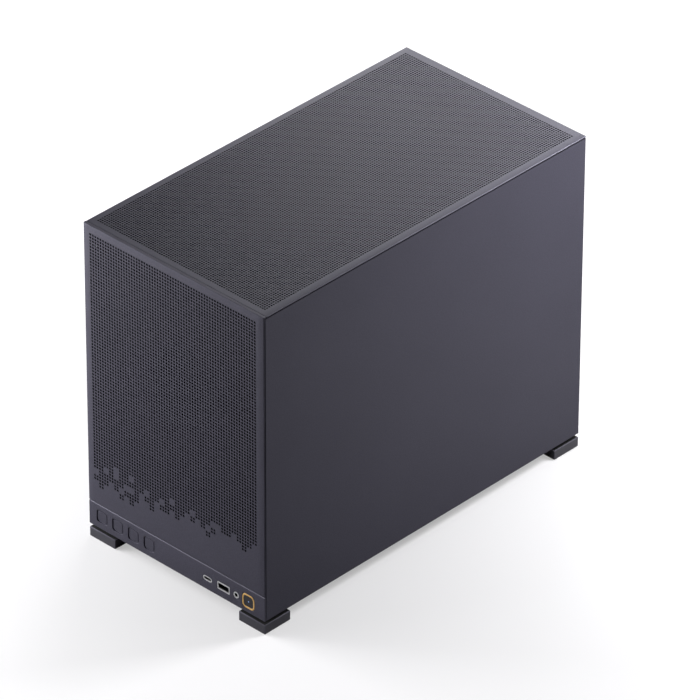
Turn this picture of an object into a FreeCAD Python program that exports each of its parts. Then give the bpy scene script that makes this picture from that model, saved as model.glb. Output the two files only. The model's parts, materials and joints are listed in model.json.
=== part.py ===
import FreeCAD, Part
import Sketcher
import math
import os
import re

# Small tower case for a micro ATX board, in millimetres.
# Seen from the front: +X right, +Y towards the back, +Z up, origin on the floor under the middle.
# The board hangs on a tray on the right, the power supply stands in front of it.

SIZES = {
    # Outside of the case.
    "body_width": 207.0,
    "body_depth": 386.0,
    "body_height": 301.0,
    "foot_height": 13.5,
    # Sheets, gaps and folds.
    "sheet": 1.0,
    "skin": 1.0,
    "seat_gap": 0.3,
    "seam": 0.6,
    "rail_inset": 7.5,
    "edge_round": 0.4,
    # Where the frame lies inside the covers.
    "floor_lift": 1.5,
    "pan_setback": 3.0,
    "roof_drop": 9.5,
    "front_gap": 12.0,
    "rear_recess": 12.5,
    "rail_height": 15.0,
    "rim_lip": 0.5,
    "rim_step": 4.0,
    # Covers.
    "strip_height": 23.9,
    "return_depth": 3.0,
    "side_top_gap": 2.0,
    "side_front_gap": 1.9,
    "filter_sheet": 0.5,
    # Openings punched in the front cover.
    "front_cell": 16.0,
    "front_border": 12.5,
    "front_plain": 41.0,
    "front_first_row": 19.5,
    # Openings punched in the top cover.
    "top_cell": 18.6,
    "top_border": 7.0,
    "top_side_border": 10.5,
    "top_columns": 6,
    "top_rows": 12,
    # Plug-in studs and their sockets.
    "stud_radius": 2.0,
    "stud_length": 15.0,
    "stud_inset": 12.5,
    "stud_corner": 28.0,
    "stud_low": 40.0,
    "stud_high": 17.0,
    "stud_way": 2.5,
    "side_stud_corner": 48.0,
    "side_stud_level": 9.0,
    "catch_size": 8.0,
    "catch_depth": 6.0,
    "catch_play": 0.3,
    # Feet.
    "foot_size": 30.5,
    "neck_height": 3.7,
    "neck_size": 21.0,
    "neck_side": 8.0,
    "pad_size": 23.0,
    "pad_proud": 0.8,
    "pad_sink": 1.2,
    "foot_step": 1.5,
    "foot_screw_radius": 1.8,
    "foot_head_radius": 4.0,
    "foot_head": 2.5,
    "foot_screw_tip": 3.0,
    "foot_chamfer": 0.8,
    "hole_play": 0.2,
    # Floor vent and its dust filter.
    "vent_slot": 4.0,
    "vent_length": 80.0,
    "vent_pitch": 9.0,
    "vent_columns": 13,
    "vent_rows": 2,
    "vent_row_pitch": 92.0,
    "vent_back": 20.0,
    "filter_width": 134.0,
    "filter_length": 320.0,
    "filter_thick": 2.1,
    "filter_border": 9.0,
    "filter_ledge": 2.0,
    "filter_play": 0.4,
    "filter_setback": 12.0,
    "mesh_sheet": 0.6,
    "rail_lip": 3.0,
    "rail_sheet": 0.8,
    "rail_gap": 0.3,
    # Board tray.
    "tray_face": 80.0,
    "board_size": 244.0,
    "board_setback": 1.5,
    "board_lift": 17.5,
    "tray_front": 60.0,
    "standoff_height": 6.5,
    "standoff_radius": 3.2,
    "standoff_bore": 1.25,
    "cooler_window_width": 110.0,
    "cooler_window_height": 105.0,
    "cooler_window_back": 28.0,
    "cooler_window_drop": 22.5,
    "cable_slot_width": 32.0,
    "cable_slot_height": 60.0,
    "cable_slot_pitch": 86.0,
    "cable_slot_front": 23.0,
    # Rear panel.
    "io_length": 158.75,
    "io_width": 44.45,
    "io_margin": 3.0,
    "io_below_board": 2.2,
    "slot_pitch": 20.32,
    "slot_drop": 14.5,
    "slot_width": 13.0,
    "slot_margin": 5.7,
    "shelf_margin": 2.0,
    "slot_length": 106.0,
    "cover_width": 18.4,
    "cover_sheet": 0.8,
    "cover_tab": 11.0,
    "cover_end": 8.0,
    "window_width": 20.0,
    "hood_width": 13.0,
    "hood_play": 0.5,
    "hood_margin": 3.0,
    "fan_centre_left": 71.5,
    "fan_centre_drop": 89.5,
    "fan_hole_spacing": 105.0,
    "fan_hole_radius": 2.2,
    "ring_inner": 14.0,
    "ring_slot": 9.0,
    "ring_pitch": 14.5,
    "half_bridge": 4.0,
    # Mains inlet.
    "inlet_left": 48.5,
    "inlet_height": 125.5,
    "inlet_width": 27.0,
    "inlet_rise": 19.5,
    "inlet_depth": 20.0,
    "inlet_flange": 2.5,
    "inlet_ear": 50.0,
    "inlet_wall": 1.5,
    "inlet_flange_margin": 2.0,
    "inlet_floor": 3.0,
    "inlet_screw_spacing": 40.0,
    "inlet_head_radius": 2.85,
    "inlet_head": 1.6,
    "pin_width": 2.0,
    "pin_height": 4.0,
    "pin_step": 7.0,
    "pin_rise": 2.0,
    # Power supply bracket.
    "psu_width": 150.0,
    "psu_thick": 86.0,
    "psu_level": 186.0,
    "psu_clear": 8.0,
    "psu_flange": 22.0,
    "psu_hole_radius": 2.1,
    "psu_window_width": 96.0,
    "psu_window_depth": 46.0,
    "psu_window_shift": 10.0,
    "psu_window_front": 20.0,
    "psu_hole_side": 6.0,
    "psu_hole_front": 16.0,
    "psu_hole_rise": 64.0,
    "psu_wide_pair": 138.0,
    "psu_narrow_pair": 114.0,
    # Front and top frame windows.
    "front_window_width": 140.0,
    "front_window_low": 46.0,
    "front_bar": 28.0,
    "front_window_top": 9.0,
    "front_bar_drop": 2.0,
    "top_window": 96.0,
    "top_fan_pitch": 123.0,
    "top_fan_back": 88.0,
    # Drive bracket behind the tray.
    "drive_lift": 10.0,
    "drive_length": 110.0,
    "drive_height": 90.0,
    "drive_foot": 12.0,
    "drive_back": 25.0,
    "drive_level": 54.0,
    "drive_hole_length": 76.6,
    "drive_hole_height": 61.72,
    "drive_hole_radius": 1.7,
    # Screws with knurled heads.
    "thumb_radius": 1.5,
    "thumb_head_radius": 3.6,
    "thumb_head": 5.0,
    "thumb_length": 6.0,
    # Front strip with the sockets and the button.
    "strip_wall": 2.0,
    "face_thick": 1.5,
    "face_extra": 1.2,
    "socket_level": 10.9,
    "dimple_size": 12.5,
    "dimple_depth": 1.2,
    "dimple_round": 3.0,
    "dimple_first": 15.2,
    "dimple_pitch": 18.7,
    "dimple_level": 12.1,
    "usb_c_place": 140.1,
    "usb_c_width": 10.1,
    "usb_c_height": 4.5,
    "usb_a_place": 158.9,
    "usb_a_width": 14.2,
    "usb_a_height": 7.6,
    "jack_place": 173.6,
    "jack_radius": 3.05,
    "jack_bore": 1.8,
    "socket_gap": 0.2,
    "socket_wall": 0.9,
    "socket_sink": 0.1,
    "usb_a_length": 16.0,
    "usb_a_tongue": 1.6,
    "usb_a_lip": 1.2,
    "usb_c_length": 13.0,
    "usb_c_tongue": 0.7,
    "usb_c_foot": 7.0,
    "tongue_setback": 3.0,
    "tongue_inset": 2.0,
    "socket_floor": 2.0,
    "jack_width": 8.0,
    "jack_length": 11.0,
    "button_place": 187.8,
    "ring_size": 14.1,
    "ring_wall": 1.5,
    "ring_round": 4.0,
    "ring_depth": 3.5,
    "button_gap": 0.3,
    "button_flange": 1.0,
    "button_rim": 0.65,
    "button_travel": 1.2,
    "led_radius": 0.6,
    "led_depth": 1.5,
    "led_play": 0.02,
    "pcb_thick": 1.6,
    "pcb_depth": 26.0,
    "pcb_setback": 7.0,
    "pcb_edge": 2.0,
    "pcb_play": 0.5,
    "board_window_side": 1.5,
    "board_window_rise": 10.0,
    "post_size": 6.0,
    "post_inset": 1.0,
    "post_back": 9.0,
    "switch_size": 7.0,
    "plunger_radius": 1.7,
    "plunger_length": 2.0,
    "plunger_proud": 1.2,
    "stem_length": 4.0,
    "stem_size": 2.6,
}

# How many openings each column of the front cover holds: the lower edge breaks up towards the right.
FRONT_COLUMNS = (10, 9, 10, 9, 9, 8, 8)

# Places that several pieces share, worked out from the sizes.
PLACES = {
    "side": "body_width / 2",
    "front": "-body_depth / 2",
    "back": "body_depth / 2",
    "base": "foot_height",
    "top": "foot_height + body_height",
    "rail": "side - rail_inset",
    "pan": "base + floor_lift",
    "deck": "pan + sheet",
    "roof": "top - roof_drop",
    "roof_under": "roof - sheet",
    "bulk": "front + front_gap",
    "bulk_back": "bulk + sheet",
    "rear": "back - rear_recess",
    "rear_inside": "rear - sheet",
    "rim_end": "back - rim_lip",
    "strip_top": "base + strip_height",
    "cover_low": "strip_top + seam",
    "top_start": "front + return_depth + seam",
    "top_under": "top - skin",
    "side_top": "top - side_top_gap",
    "side_front": "front + side_front_gap",
    "fold": "rail + seat_gap",
    "panel_inside": "side - sheet",
    "level": "base + socket_level",
    "board_rear": "rear_inside - board_setback",
    "board_low": "deck + board_lift",
    "board_top": "board_low + board_size",
    "front_pitch": "(body_width - front_border * 2) / 7",
    "front_row_pitch": "(body_height - front_plain) / 10",
    "top_pitch": "(body_width - top_side_border * 2) / top_columns",
    "top_row_pitch": "(body_depth - top_border * 2) / top_rows",
    "drive_start": "board_rear - board_size + drive_back",
    "tray_end": "front + tray_front",
    "board_back": "tray_face - standoff_height",
    "io_right": "board_back + io_below_board",
    "io_left": "io_right - io_width",
    "io_top": "board_top - io_margin",
    "slot_first": "io_top - io_length - slot_drop",
    "slot_last": "slot_first - 3 * slot_pitch",
    "slot_left": "io_right - slot_length - slot_margin",
    "window_left": "slot_left - window_width",
    "shelf_low": "slot_last - cover_width / 2 - shelf_margin",
    "shelf_height": "slot_pitch * 3 + cover_width + shelf_margin * 2",
    "hood_x": "window_left - hood_width / 2",
    "hood_z": "slot_last + slot_pitch * 3 / 2",
    "fan_x": "fan_centre_left - side",
    "fan_z": "top - fan_centre_drop",
    "inlet_x": "inlet_left - side",
    "inlet_z": "base + inlet_height",
    "foot_top": "foot_height - neck_height",
    "neck_outer": "side - neck_side",
    "foot_axis_x": "neck_outer - neck_size / 2",
    "foot_axis_y": "back - foot_size / 2 - foot_step",
    "pad_top": "pad_proud + pad_sink",
    "filter_side": "filter_width / 2",
    "filter_top": "pan - filter_play",
    "filter_low": "filter_top - filter_thick",
    "filter_front": "front + foot_size + filter_setback",
    "psu_plate": "deck + psu_level",
    "psu_front": "bulk_back + psu_clear",
    "psu_back": "psu_front + psu_thick",
    "top_fan_y": "back - top_fan_back",
    "usb_c_x": "usb_c_place - side",
    "usb_a_x": "usb_a_place - side",
    "jack_x": "jack_place - side",
    "button_x": "button_place - side",
    "pcb_top": "level - usb_a_height / 2",
    "pcb_low": "pcb_top - pcb_thick",
    "pcb_left": "usb_c_x - usb_c_width / 2 - pcb_edge",
    "pcb_right": "rail - sheet - strip_wall - pcb_play",
    "pcb_front": "front + pcb_setback",
    "socket_face": "front + socket_sink",
    "stud_x": "side - stud_inset",
    "bar_level": "psu_plate - front_bar_drop",
    "cap_face": "front + button_gap",
    "cap_flange": "front + ring_depth + button_gap",
    "cap_back": "cap_flange + button_flange",
    "plunger_end": "cap_back + stem_length",
}

doc = FreeCAD.newDocument("case")
sheet = doc.addObject("Spreadsheet::Sheet", "sizes")
for row, (alias, number) in enumerate(SIZES.items(), start=1):
    sheet.set(f"A{row}", alias)
    sheet.set(f"B{row}", str(number))
    sheet.setAlias(f"B{row}", alias)
doc.recompute()

nodes = []
NEAR = 0.1
QUARTER = math.pi / 2
ROLES = {"flat": "XY_Plane", "facing": "XZ_Plane", "sideways": "YZ_Plane"}


def bound(text):
    """A sum of plain words as an expression on the sheet's cells."""

    def swap(word):
        word = word.group(0)
        if word in PLACES:
            return "(" + bound(PLACES[word]) + ")"
        return "sizes." + word if word in SIZES else word

    return re.sub(r"[a-z_]+", swap, text)


def value(text):
    """What a sum comes to, for the first drawing of a sketch."""
    return float(sheet.evalExpression(bound(text)))


def bind(item, name, text):
    item.setExpression(name, bound(text))


def settle(item, x="0", y="0", z="0"):
    for axis, text in zip("xyz", (x, y, z)):
        bind(item, f"Placement.Base.{axis}", text)


def node(item, name):
    """Registers a finished piece under the name that its file takes."""
    item.Label = name
    nodes.append((name, item))
    return item


def new_body(name):
    return node(doc.addObject("PartDesign::Body", name), name)


def sketch_on(body, role, x="0", y="0", lift="0"):
    """A sketch on one of the body's origin planes, moved along its own two axes and lifted."""
    sketch = body.newObject("Sketcher::SketchObject", "sketch")
    planes = {item.Role: item for item in body.Origin.OriginFeatures}
    sketch.AttachmentSupport = (planes[ROLES[role]], [""])
    sketch.MapMode = "FlatFace"
    bind(sketch, "AttachmentOffset.Base.x", x)
    bind(sketch, "AttachmentOffset.Base.y", y)
    bind(sketch, "AttachmentOffset.Base.z", "-(" + lift + ")" if role == "facing" else lift)
    return sketch


def pin_point(sketch, edge, end, x, y):
    """Ties one end of an edge to a distance from the sketch's own origin."""
    for text, kind, axis in ((x, "DistanceX", -2), (y, "DistanceY", -1)):
        if text == "0":
            sketch.addConstraint(Sketcher.Constraint("PointOnObject", edge, end, axis))
        else:
            rule = sketch.addConstraint(Sketcher.Constraint(kind, -1, 1, edge, end, 10.0))
            bind(sketch, f"Constraints[{rule}]", text)


def outline(sketch, points):
    """A closed outline of straight edges through points given as pairs of sums."""
    first = sketch.GeometryCount
    count = len(points)
    where = [FreeCAD.Vector(*(value(text) for text in point), 0) for point in points]
    for k in range(count):
        sketch.addGeometry(Part.LineSegment(where[k], where[(k + 1) % count]), False)
    for k in range(count):
        sketch.addConstraint(Sketcher.Constraint("Coincident", first + k, 2, first + (k + 1) % count, 1))
    for k, (x, y) in enumerate(points):
        pin_point(sketch, first + k, 1, x, y)


def rectangle(sketch, width, height, x="0", y="0"):
    right = width if x == "0" else f"{x} + {width}"
    high = height if y == "0" else f"{y} + {height}"
    outline(sketch, [(x, y), (right, y), (right, high), (x, high)])


def circle(sketch, radius, x="0", y="0"):
    place = FreeCAD.Vector(value(x), value(y), 0)
    edge = sketch.addGeometry(Part.Circle(place, FreeCAD.Vector(0, 0, 1), value(radius)), False)
    rule = sketch.addConstraint(Sketcher.Constraint("Radius", edge, value(radius)))
    bind(sketch, f"Constraints[{rule}]", radius)
    if x == "0" and y == "0":
        sketch.addConstraint(Sketcher.Constraint("Coincident", edge, 3, -1, 1))
    else:
        pin_point(sketch, edge, 3, x, y)


def pad(body, sketch, length, back=False):
    feature = body.newObject("PartDesign::Pad", "pad")
    feature.Profile = sketch
    bind(feature, "Length", length)
    feature.Reversed = back
    body.Tip = feature
    return feature


def pocket(body, sketch, length, back=False):
    """Cuts along the sketch's normal, or against it where back is set."""
    feature = body.newObject("PartDesign::Pocket", "pocket")
    feature.Profile = sketch
    bind(feature, "Length", length)
    feature.Reversed = not back
    body.Tip = feature
    return feature


def square_hole(body, role, x, y, lift, reach, depth, back=False):
    """A square way through a sheet, round a point."""
    hole = sketch_on(body, role, f"{x} - ({reach})", f"{y} - ({reach})", lift)
    rectangle(hole, f"({reach}) * 2", f"({reach}) * 2")
    return pocket(body, hole, depth, back)


def row_of(body, feature, count, pitch, axis="H_Axis", count_two="1", pitch_two="1"):
    """Repeats a cut along its sketch's first axis, and along the second where a count is given."""
    pattern = body.newObject("PartDesign::LinearPattern", "row")
    pattern.Originals = [feature]
    pattern.Direction = (feature.Profile[0], [axis])
    bind(pattern, "Length", f"({count} - 1) * {pitch}")
    bind(pattern, "Occurrences", count)
    if count_two != "1":
        pattern.Direction2 = (feature.Profile[0], ["V_Axis"])
        bind(pattern, "Length2", f"({count_two} - 1) * {pitch_two}")
        bind(pattern, "Occurrences2", count_two)
    body.Tip = pattern
    return pattern


def straight_edges(feature, axis, keep=lambda point: True):
    """Names of a shape's straight edges that run along an axis and pass a test on their middle."""
    doc.recompute()
    names = []
    for k, edge in enumerate(feature.Shape.Edges, start=1):
        if edge.Curve.TypeId != "Part::GeomLine":
            continue
        along = edge.tangentAt(edge.FirstParameter)
        if abs(getattr(along, axis)) > 0.999 and keep(edge.CenterOfMass):
            names.append(f"Edge{k}")
    return names


def rounded(body, feature, names, radius):
    fillet = body.newObject("PartDesign::Fillet", "round")
    fillet.Base = (feature, names)
    bind(fillet, "Radius", radius)
    body.Tip = fillet
    return fillet


def block(name, x, y, z, length, width, height):
    item = doc.addObject("Part::Box", name)
    bind(item, "Length", length)
    bind(item, "Width", width)
    bind(item, "Height", height)
    settle(item, x, y, z)
    return item


ALONG = {
    "z": FreeCAD.Rotation(),
    "-z": FreeCAD.Rotation(FreeCAD.Vector(1, 0, 0), 180),
    "x": FreeCAD.Rotation(FreeCAD.Vector(0, 1, 0), 90),
    "-x": FreeCAD.Rotation(FreeCAD.Vector(0, 1, 0), -90),
    "y": FreeCAD.Rotation(FreeCAD.Vector(1, 0, 0), -90),
    "-y": FreeCAD.Rotation(FreeCAD.Vector(1, 0, 0), 90),
}


def rod(name, along, x, y, z, radius, length):
    item = doc.addObject("Part::Cylinder", name)
    bind(item, "Radius", radius)
    bind(item, "Height", length)
    item.Placement.Rotation = ALONG[along]
    settle(item, x, y, z)
    return item


def bar(name, along, x, y, z, radius, length, sides=12):
    """A straight bar with flat sides."""
    item = doc.addObject("Part::Prism", name)
    item.Polygon = sides
    bind(item, "Circumradius", radius)
    bind(item, "Height", length)
    item.Placement.Rotation = ALONG[along]
    settle(item, x, y, z)
    return item


def join(name, *items):
    fuse = doc.addObject("Part::MultiFuse", name)
    fuse.Shapes = list(items)
    return fuse


def cut(name, solid, tool):
    item = doc.addObject("Part::Cut", name)
    item.Base = solid
    item.Tool = tool
    return item


def group(name, items):
    """Like pieces that share one node."""
    item = doc.addObject("Part::Compound", name)
    item.Links = list(items)
    return node(item, name)


# Floor pan: a sheet with a low flange up each side, punched with vent slots.
def floor_pan():
    pan = new_body("base_pan")
    floor = sketch_on(pan, "flat", "-rail", "front + pan_setback", "pan")
    rectangle(floor, "rail * 2", "rim_end - front - pan_setback")
    pad(pan, floor, "sheet")
    for x in ("-rail", "rail - sheet"):
        flange = sketch_on(pan, "flat", x, "bulk_back", "pan")
        rectangle(flange, "sheet", "rear_inside - bulk_back")
        pad(pan, flange, "rail_height + sheet")
    for x in ("pcb_left + post_inset", "pcb_right - post_inset - post_size"):
        post = sketch_on(pan, "flat", x, "bulk_back + post_back", "pan")
        rectangle(post, "post_size", "post_size")
        pad(pan, post, "pcb_low - pan")
    vent = sketch_on(pan, "flat", "-vent_pitch * (vent_columns - 1) / 2 - vent_slot / 2",
                     "rear - vent_back - vent_row_pitch * (vent_rows - 1) - vent_length", "pan")
    rectangle(vent, "vent_slot", "vent_length")
    row_of(pan, pocket(pan, vent, "sheet"), "vent_columns", "vent_pitch",
           count_two="vent_rows", pitch_two="vent_row_pitch")
    hole = square_hole(pan, "flat", "-foot_axis_x", "-foot_axis_y", "pan",
                       "foot_screw_radius + hole_play", "sheet")
    row_of(pan, hole, "2", "foot_axis_x * 2", count_two="2", pitch_two="foot_axis_y * 2")
    side_stud_holes(pan, low=True)


def side_stud_holes(body, low):
    """The ways through a side flange for the side panels' studs."""
    for side, lift in (("left", "-rail"), ("right", "rail - sheet")):
        for end in ("front", "back"):
            x, y, z = side_stud_place(side, end, low)
            square_hole(body, "sideways", y, z, lift, "stud_way", "sheet")


def side_stud_place(side, end, low):
    """Where a side panel's stud stands: its face, its place along the depth and its height."""
    x = "-panel_inside" if side == "left" else "panel_inside"
    y = "front + side_stud_corner" if end == "front" else "back - side_stud_corner"
    z = "pan + side_stud_level" if low else "roof - side_stud_level"
    return x, y, z


# Rear panel: a plate set in from the back edge, with a rim out to it on both sides.
def rear_panel():
    panel = new_body("rear_panel")
    plate = sketch_on(panel, "facing", "-rail", "deck", "rear_inside")
    rectangle(plate, "rail * 2", "roof_under - deck")
    pad(panel, plate, "sheet", back=True)
    aperture = sketch_on(panel, "facing", "io_left", "io_top - io_length", "rear_inside")
    rectangle(aperture, "io_width", "io_length")
    pocket(panel, aperture, "sheet", back=True)
    slot = sketch_on(panel, "facing", "slot_left - sheet", "slot_last - slot_width / 2", "rear_inside")
    rectangle(slot, "slot_length + sheet", "slot_width")
    row_of(panel, pocket(panel, slot, "sheet", back=True), "4", "slot_pitch", axis="V_Axis")
    window = sketch_on(panel, "facing", "window_left", "shelf_low", "rear_inside")
    rectangle(window, "window_width", "shelf_height")
    pocket(panel, window, "sheet", back=True)
    inlet = sketch_on(panel, "facing", "inlet_x - inlet_width / 2 - hole_play",
                      "inlet_z - inlet_rise / 2 - hole_play", "rear_inside")
    rectangle(inlet, "inlet_width + hole_play * 2", "inlet_rise + hole_play * 2")
    pocket(panel, inlet, "sheet", back=True)
    ear = square_hole(panel, "facing", "inlet_x - inlet_screw_spacing / 2", "inlet_z", "rear_inside",
                      "thumb_radius + hole_play", "sheet", back=True)
    row_of(panel, ear, "2", "inlet_screw_spacing")
    square_hole(panel, "facing", "hood_x", "hood_z", "rear_inside",
                "thumb_radius + hole_play", "sheet", back=True)
    screws = sketch_on(panel, "facing", "fan_x - fan_hole_spacing / 2", "fan_z - fan_hole_spacing / 2",
                       "rear_inside")
    circle(screws, "fan_hole_radius")
    row_of(panel, pocket(panel, screws, "sheet", back=True), "2", "fan_hole_spacing",
           count_two="2", pitch_two="fan_hole_spacing")
    fan_guard(panel)
    rims = []
    for side, x in (("left", "-rail"), ("right", "rail - sheet")):
        rims.append(block(f"rim_{side}", x, "rear", "deck", "sheet", "rim_end - rear", "roof_under - deck"))
    group("rear_rims", rims)
    shelf = new_body("slot_shelf")
    ledge = sketch_on(shelf, "facing", "slot_left", "shelf_low", "rear")
    rectangle(ledge, "sheet", "shelf_height")
    pad(shelf, ledge, "cover_tab", back=True)
    for k in range(4):
        square_hole(shelf, "sideways", "rear + cover_tab / 2", f"slot_last + {k} * slot_pitch", "slot_left",
                    "thumb_radius + hole_play", "sheet")


# Stamped fan guard: three rings of curved slots, parted by four bridges.
def fan_guard(panel):
    for ring in range(3):
        inner = f"ring_inner + {ring} * ring_pitch"
        outer = f"{inner} + ring_slot"
        slots = sketch_on(panel, "facing", "fan_x", "fan_z", "rear_inside")
        ring_slot(slots, inner, outer)
        first = pocket(panel, slots, "sheet", back=True)
        turn = panel.newObject("PartDesign::PolarPattern", "turn")
        turn.Originals = [first]
        turn.Axis = (slots, ["N_Axis"])
        turn.Angle = 360
        turn.Occurrences = 4
        panel.Tip = turn


def ring_slot(sketch, inner, outer):
    """A quarter of a ring, less half a bridge at each end: two arcs and two straight ends."""
    centre = FreeCAD.Vector(0, 0, 0)
    normal = FreeCAD.Vector(0, 0, 1)
    parting = value("half_bridge")
    arcs = []
    for radius in (inner, outer):
        start = math.asin(parting / value(radius))
        round_edge = Part.ArcOfCircle(Part.Circle(centre, normal, value(radius)), start, QUARTER - start)
        arcs.append(sketch.addGeometry(round_edge, False))
    for end in (1, 2):
        near = sketch.getPoint(arcs[0], end)
        far = sketch.getPoint(arcs[1], end)
        edge = sketch.addGeometry(Part.LineSegment(near, far), False)
        sketch.addConstraint(Sketcher.Constraint("Coincident", edge, 1, arcs[0], end))
        sketch.addConstraint(Sketcher.Constraint("Coincident", edge, 2, arcs[1], end))
    for arc, radius in zip(arcs, (inner, outer)):
        sketch.addConstraint(Sketcher.Constraint("Coincident", arc, 3, -1, 1))
        rule = sketch.addConstraint(Sketcher.Constraint("Radius", arc, value(radius)))
        bind(sketch, f"Constraints[{rule}]", radius)
        for kind, end in (("DistanceY", 1), ("DistanceX", 2)):
            rule = sketch.addConstraint(Sketcher.Constraint(kind, -1, 1, arc, end, parting))
            bind(sketch, f"Constraints[{rule}]", "half_bridge")


# Board tray: a plate with a stiffening fold at its front edge.
def board_tray():
    tray = new_body("motherboard_tray")
    plate = sketch_on(tray, "sideways", "tray_end", "deck", "tray_face")
    rectangle(plate, "rear_inside - tray_end", "roof_under - deck")
    pad(tray, plate, "sheet")
    fold = sketch_on(tray, "sideways", "tray_end", "deck", "tray_face")
    rectangle(fold, "sheet", "roof_under - deck")
    pad(tray, fold, "rail - sheet - tray_face")
    cooler = sketch_on(tray, "sideways", "board_rear - cooler_window_back - cooler_window_width",
                       "board_top - cooler_window_drop - cooler_window_height", "tray_face")
    rectangle(cooler, "cooler_window_width", "cooler_window_height")
    pocket(tray, cooler, "sheet")
    passes = sketch_on(tray, "sideways", "tray_end + cable_slot_front", "board_low", "tray_face")
    rectangle(passes, "cable_slot_width", "cable_slot_height")
    row_of(tray, pocket(tray, passes, "sheet"), "3", "cable_slot_pitch", axis="V_Axis")


# Front frame: a plate between floor and roof, with two air windows and folds back along its sides.
def front_frame():
    frame = new_body("front_frame")
    plate = sketch_on(frame, "facing", "-rail", "deck", "bulk_back")
    rectangle(plate, "rail * 2", "roof_under - deck")
    pad(frame, plate, "sheet")
    for x in ("-rail", "rail - sheet"):
        fold = sketch_on(frame, "facing", x, "deck + rail_height", "bulk_back")
        rectangle(fold, "sheet", "roof - deck - rail_height * 2")
        pad(frame, fold, "rail_height", back=True)
    low = sketch_on(frame, "facing", "-front_window_width / 2", "deck + front_window_low", "bulk_back")
    rectangle(low, "front_window_width", "bar_level - deck - front_window_low")
    pocket(frame, low, "sheet")
    high = sketch_on(frame, "facing", "-front_window_width / 2", "bar_level + front_bar", "bulk_back")
    rectangle(high, "front_window_width", "roof_under - front_window_top - bar_level - front_bar")
    pocket(frame, high, "sheet")
    board = sketch_on(frame, "facing", "pcb_left - board_window_side", "deck", "bulk_back")
    rectangle(board, "rail - pcb_left - sheet", "level + board_window_rise - deck")
    pocket(frame, board, "sheet")
    for x in ("-stud_x", "stud_x"):
        for z in ("base + stud_low", "top - stud_high"):
            square_hole(frame, "facing", x, z, "bulk_back", "stud_way", "sheet")


# Top frame: a deck with two fan windows and a flange down each side.
def top_frame():
    frame = new_body("top_frame")
    deck = sketch_on(frame, "flat", "-rail", "bulk", "roof_under")
    rectangle(deck, "rail * 2", "rim_end - bulk")
    pad(frame, deck, "sheet")
    for x in ("-rail", "rail - sheet"):
        flange = sketch_on(frame, "flat", x, "bulk_back", "roof - rail_height")
        rectangle(flange, "sheet", "rear_inside - bulk_back")
        pad(frame, flange, "rail_height")
    window = sketch_on(frame, "flat", "-top_window / 2", "top_fan_y - top_fan_pitch - top_window / 2",
                       "roof_under")
    rectangle(window, "top_window", "top_window")
    row_of(frame, pocket(frame, window, "sheet"), "2", "top_fan_pitch", axis="V_Axis")
    for k in (0, 1):
        holes = sketch_on(frame, "flat", "-fan_hole_spacing / 2",
                          f"top_fan_y - {k} * top_fan_pitch - fan_hole_spacing / 2", "roof_under")
        circle(holes, "fan_hole_radius")
        row_of(frame, pocket(frame, holes, "sheet"), "2", "fan_hole_spacing",
               count_two="2", pitch_two="fan_hole_spacing")
    for x in ("-stud_x", "stud_x"):
        for y in ("front + stud_corner", "back - stud_corner"):
            square_hole(frame, "flat", x, y, "roof_under", "stud_way", "sheet")
    side_stud_holes(frame, low=False)


# Slot covers: a strip behind each slot, with a tab bent out onto the shelf and notched for its screw.
def slot_covers():
    for k in range(4):
        centre = f"slot_first - {k} * slot_pitch"
        cover = new_body(f"slot_cover_{k + 1}")
        bend = sketch_on(cover, "flat", "slot_left - cover_sheet", "rear_inside - cover_sheet",
                         f"{centre} - cover_width / 2")
        length = "slot_length + cover_end"
        outline(bend, [("0", "0"), (length, "0"), (length, "cover_sheet"), ("cover_sheet", "cover_sheet"),
                       ("cover_sheet", "cover_tab + sheet + cover_sheet"),
                       ("0", "cover_tab + sheet + cover_sheet")])
        pad(cover, bend, "cover_width")
        notch = sketch_on(cover, "sideways", "rear + cover_tab / 2 - thumb_radius - hole_play",
                          f"{centre} - thumb_radius - hole_play", "slot_left - cover_sheet")
        rectangle(notch, "cover_tab", "(thumb_radius + hole_play) * 2")
        pocket(cover, notch, "cover_sheet")


# Hood over the row of slot screws, folded from one strip and held by a screw of its own.
def slot_hood():
    hood = new_body("slot_hood")
    fold = sketch_on(hood, "flat", "window_left - hood_width", "rear",
                     "slot_last - cover_width / 2 - hood_margin")
    reach = "rim_end - hood_play - rear"
    wide = "hood_width + window_width - sheet - hood_play"
    outline(fold, [("0", "0"), ("hood_width", "0"), ("hood_width", f"{reach} - sheet"),
                   (wide, f"{reach} - sheet"), (wide, reach), ("hood_width - sheet", reach),
                   ("hood_width - sheet", "sheet"), ("0", "sheet")])
    pad(hood, fold, "slot_pitch * 3 + cover_width + hood_margin * 2")
    square_hole(hood, "facing", "hood_x", "hood_z", "rear", "thumb_radius + hole_play", "sheet", back=True)


def thumb_screw(name, along, x, y, z):
    head = bar(name + "_head", along, x, y, z, "thumb_head_radius", "thumb_head")
    opposite = along[1:] if along.startswith("-") else "-" + along
    shank = bar(name + "_shank", opposite, x, y, z, "thumb_radius", "thumb_length", sides=8)
    return join(name, head, shank)


def thumb_screws():
    screws = []
    for k in range(4):
        screws.append(thumb_screw(f"slot_screw_{k}", "-x", "slot_left - cover_sheet", "rear + cover_tab / 2",
                                  f"slot_first - {k} * slot_pitch"))
    screws.append(thumb_screw("hood_screw", "y", "hood_x", "rear + sheet", "hood_z"))
    group("thumbscrews", screws)


# Board standoffs at the nine places of the board's screws, less the corner that it leaves out.
BOARD_COLUMNS = (10.16, 165.1, 237.49)
BOARD_ROWS = (10.16, 167.64, 213.36)
REAR_TOP_ROW = 33.02


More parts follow.
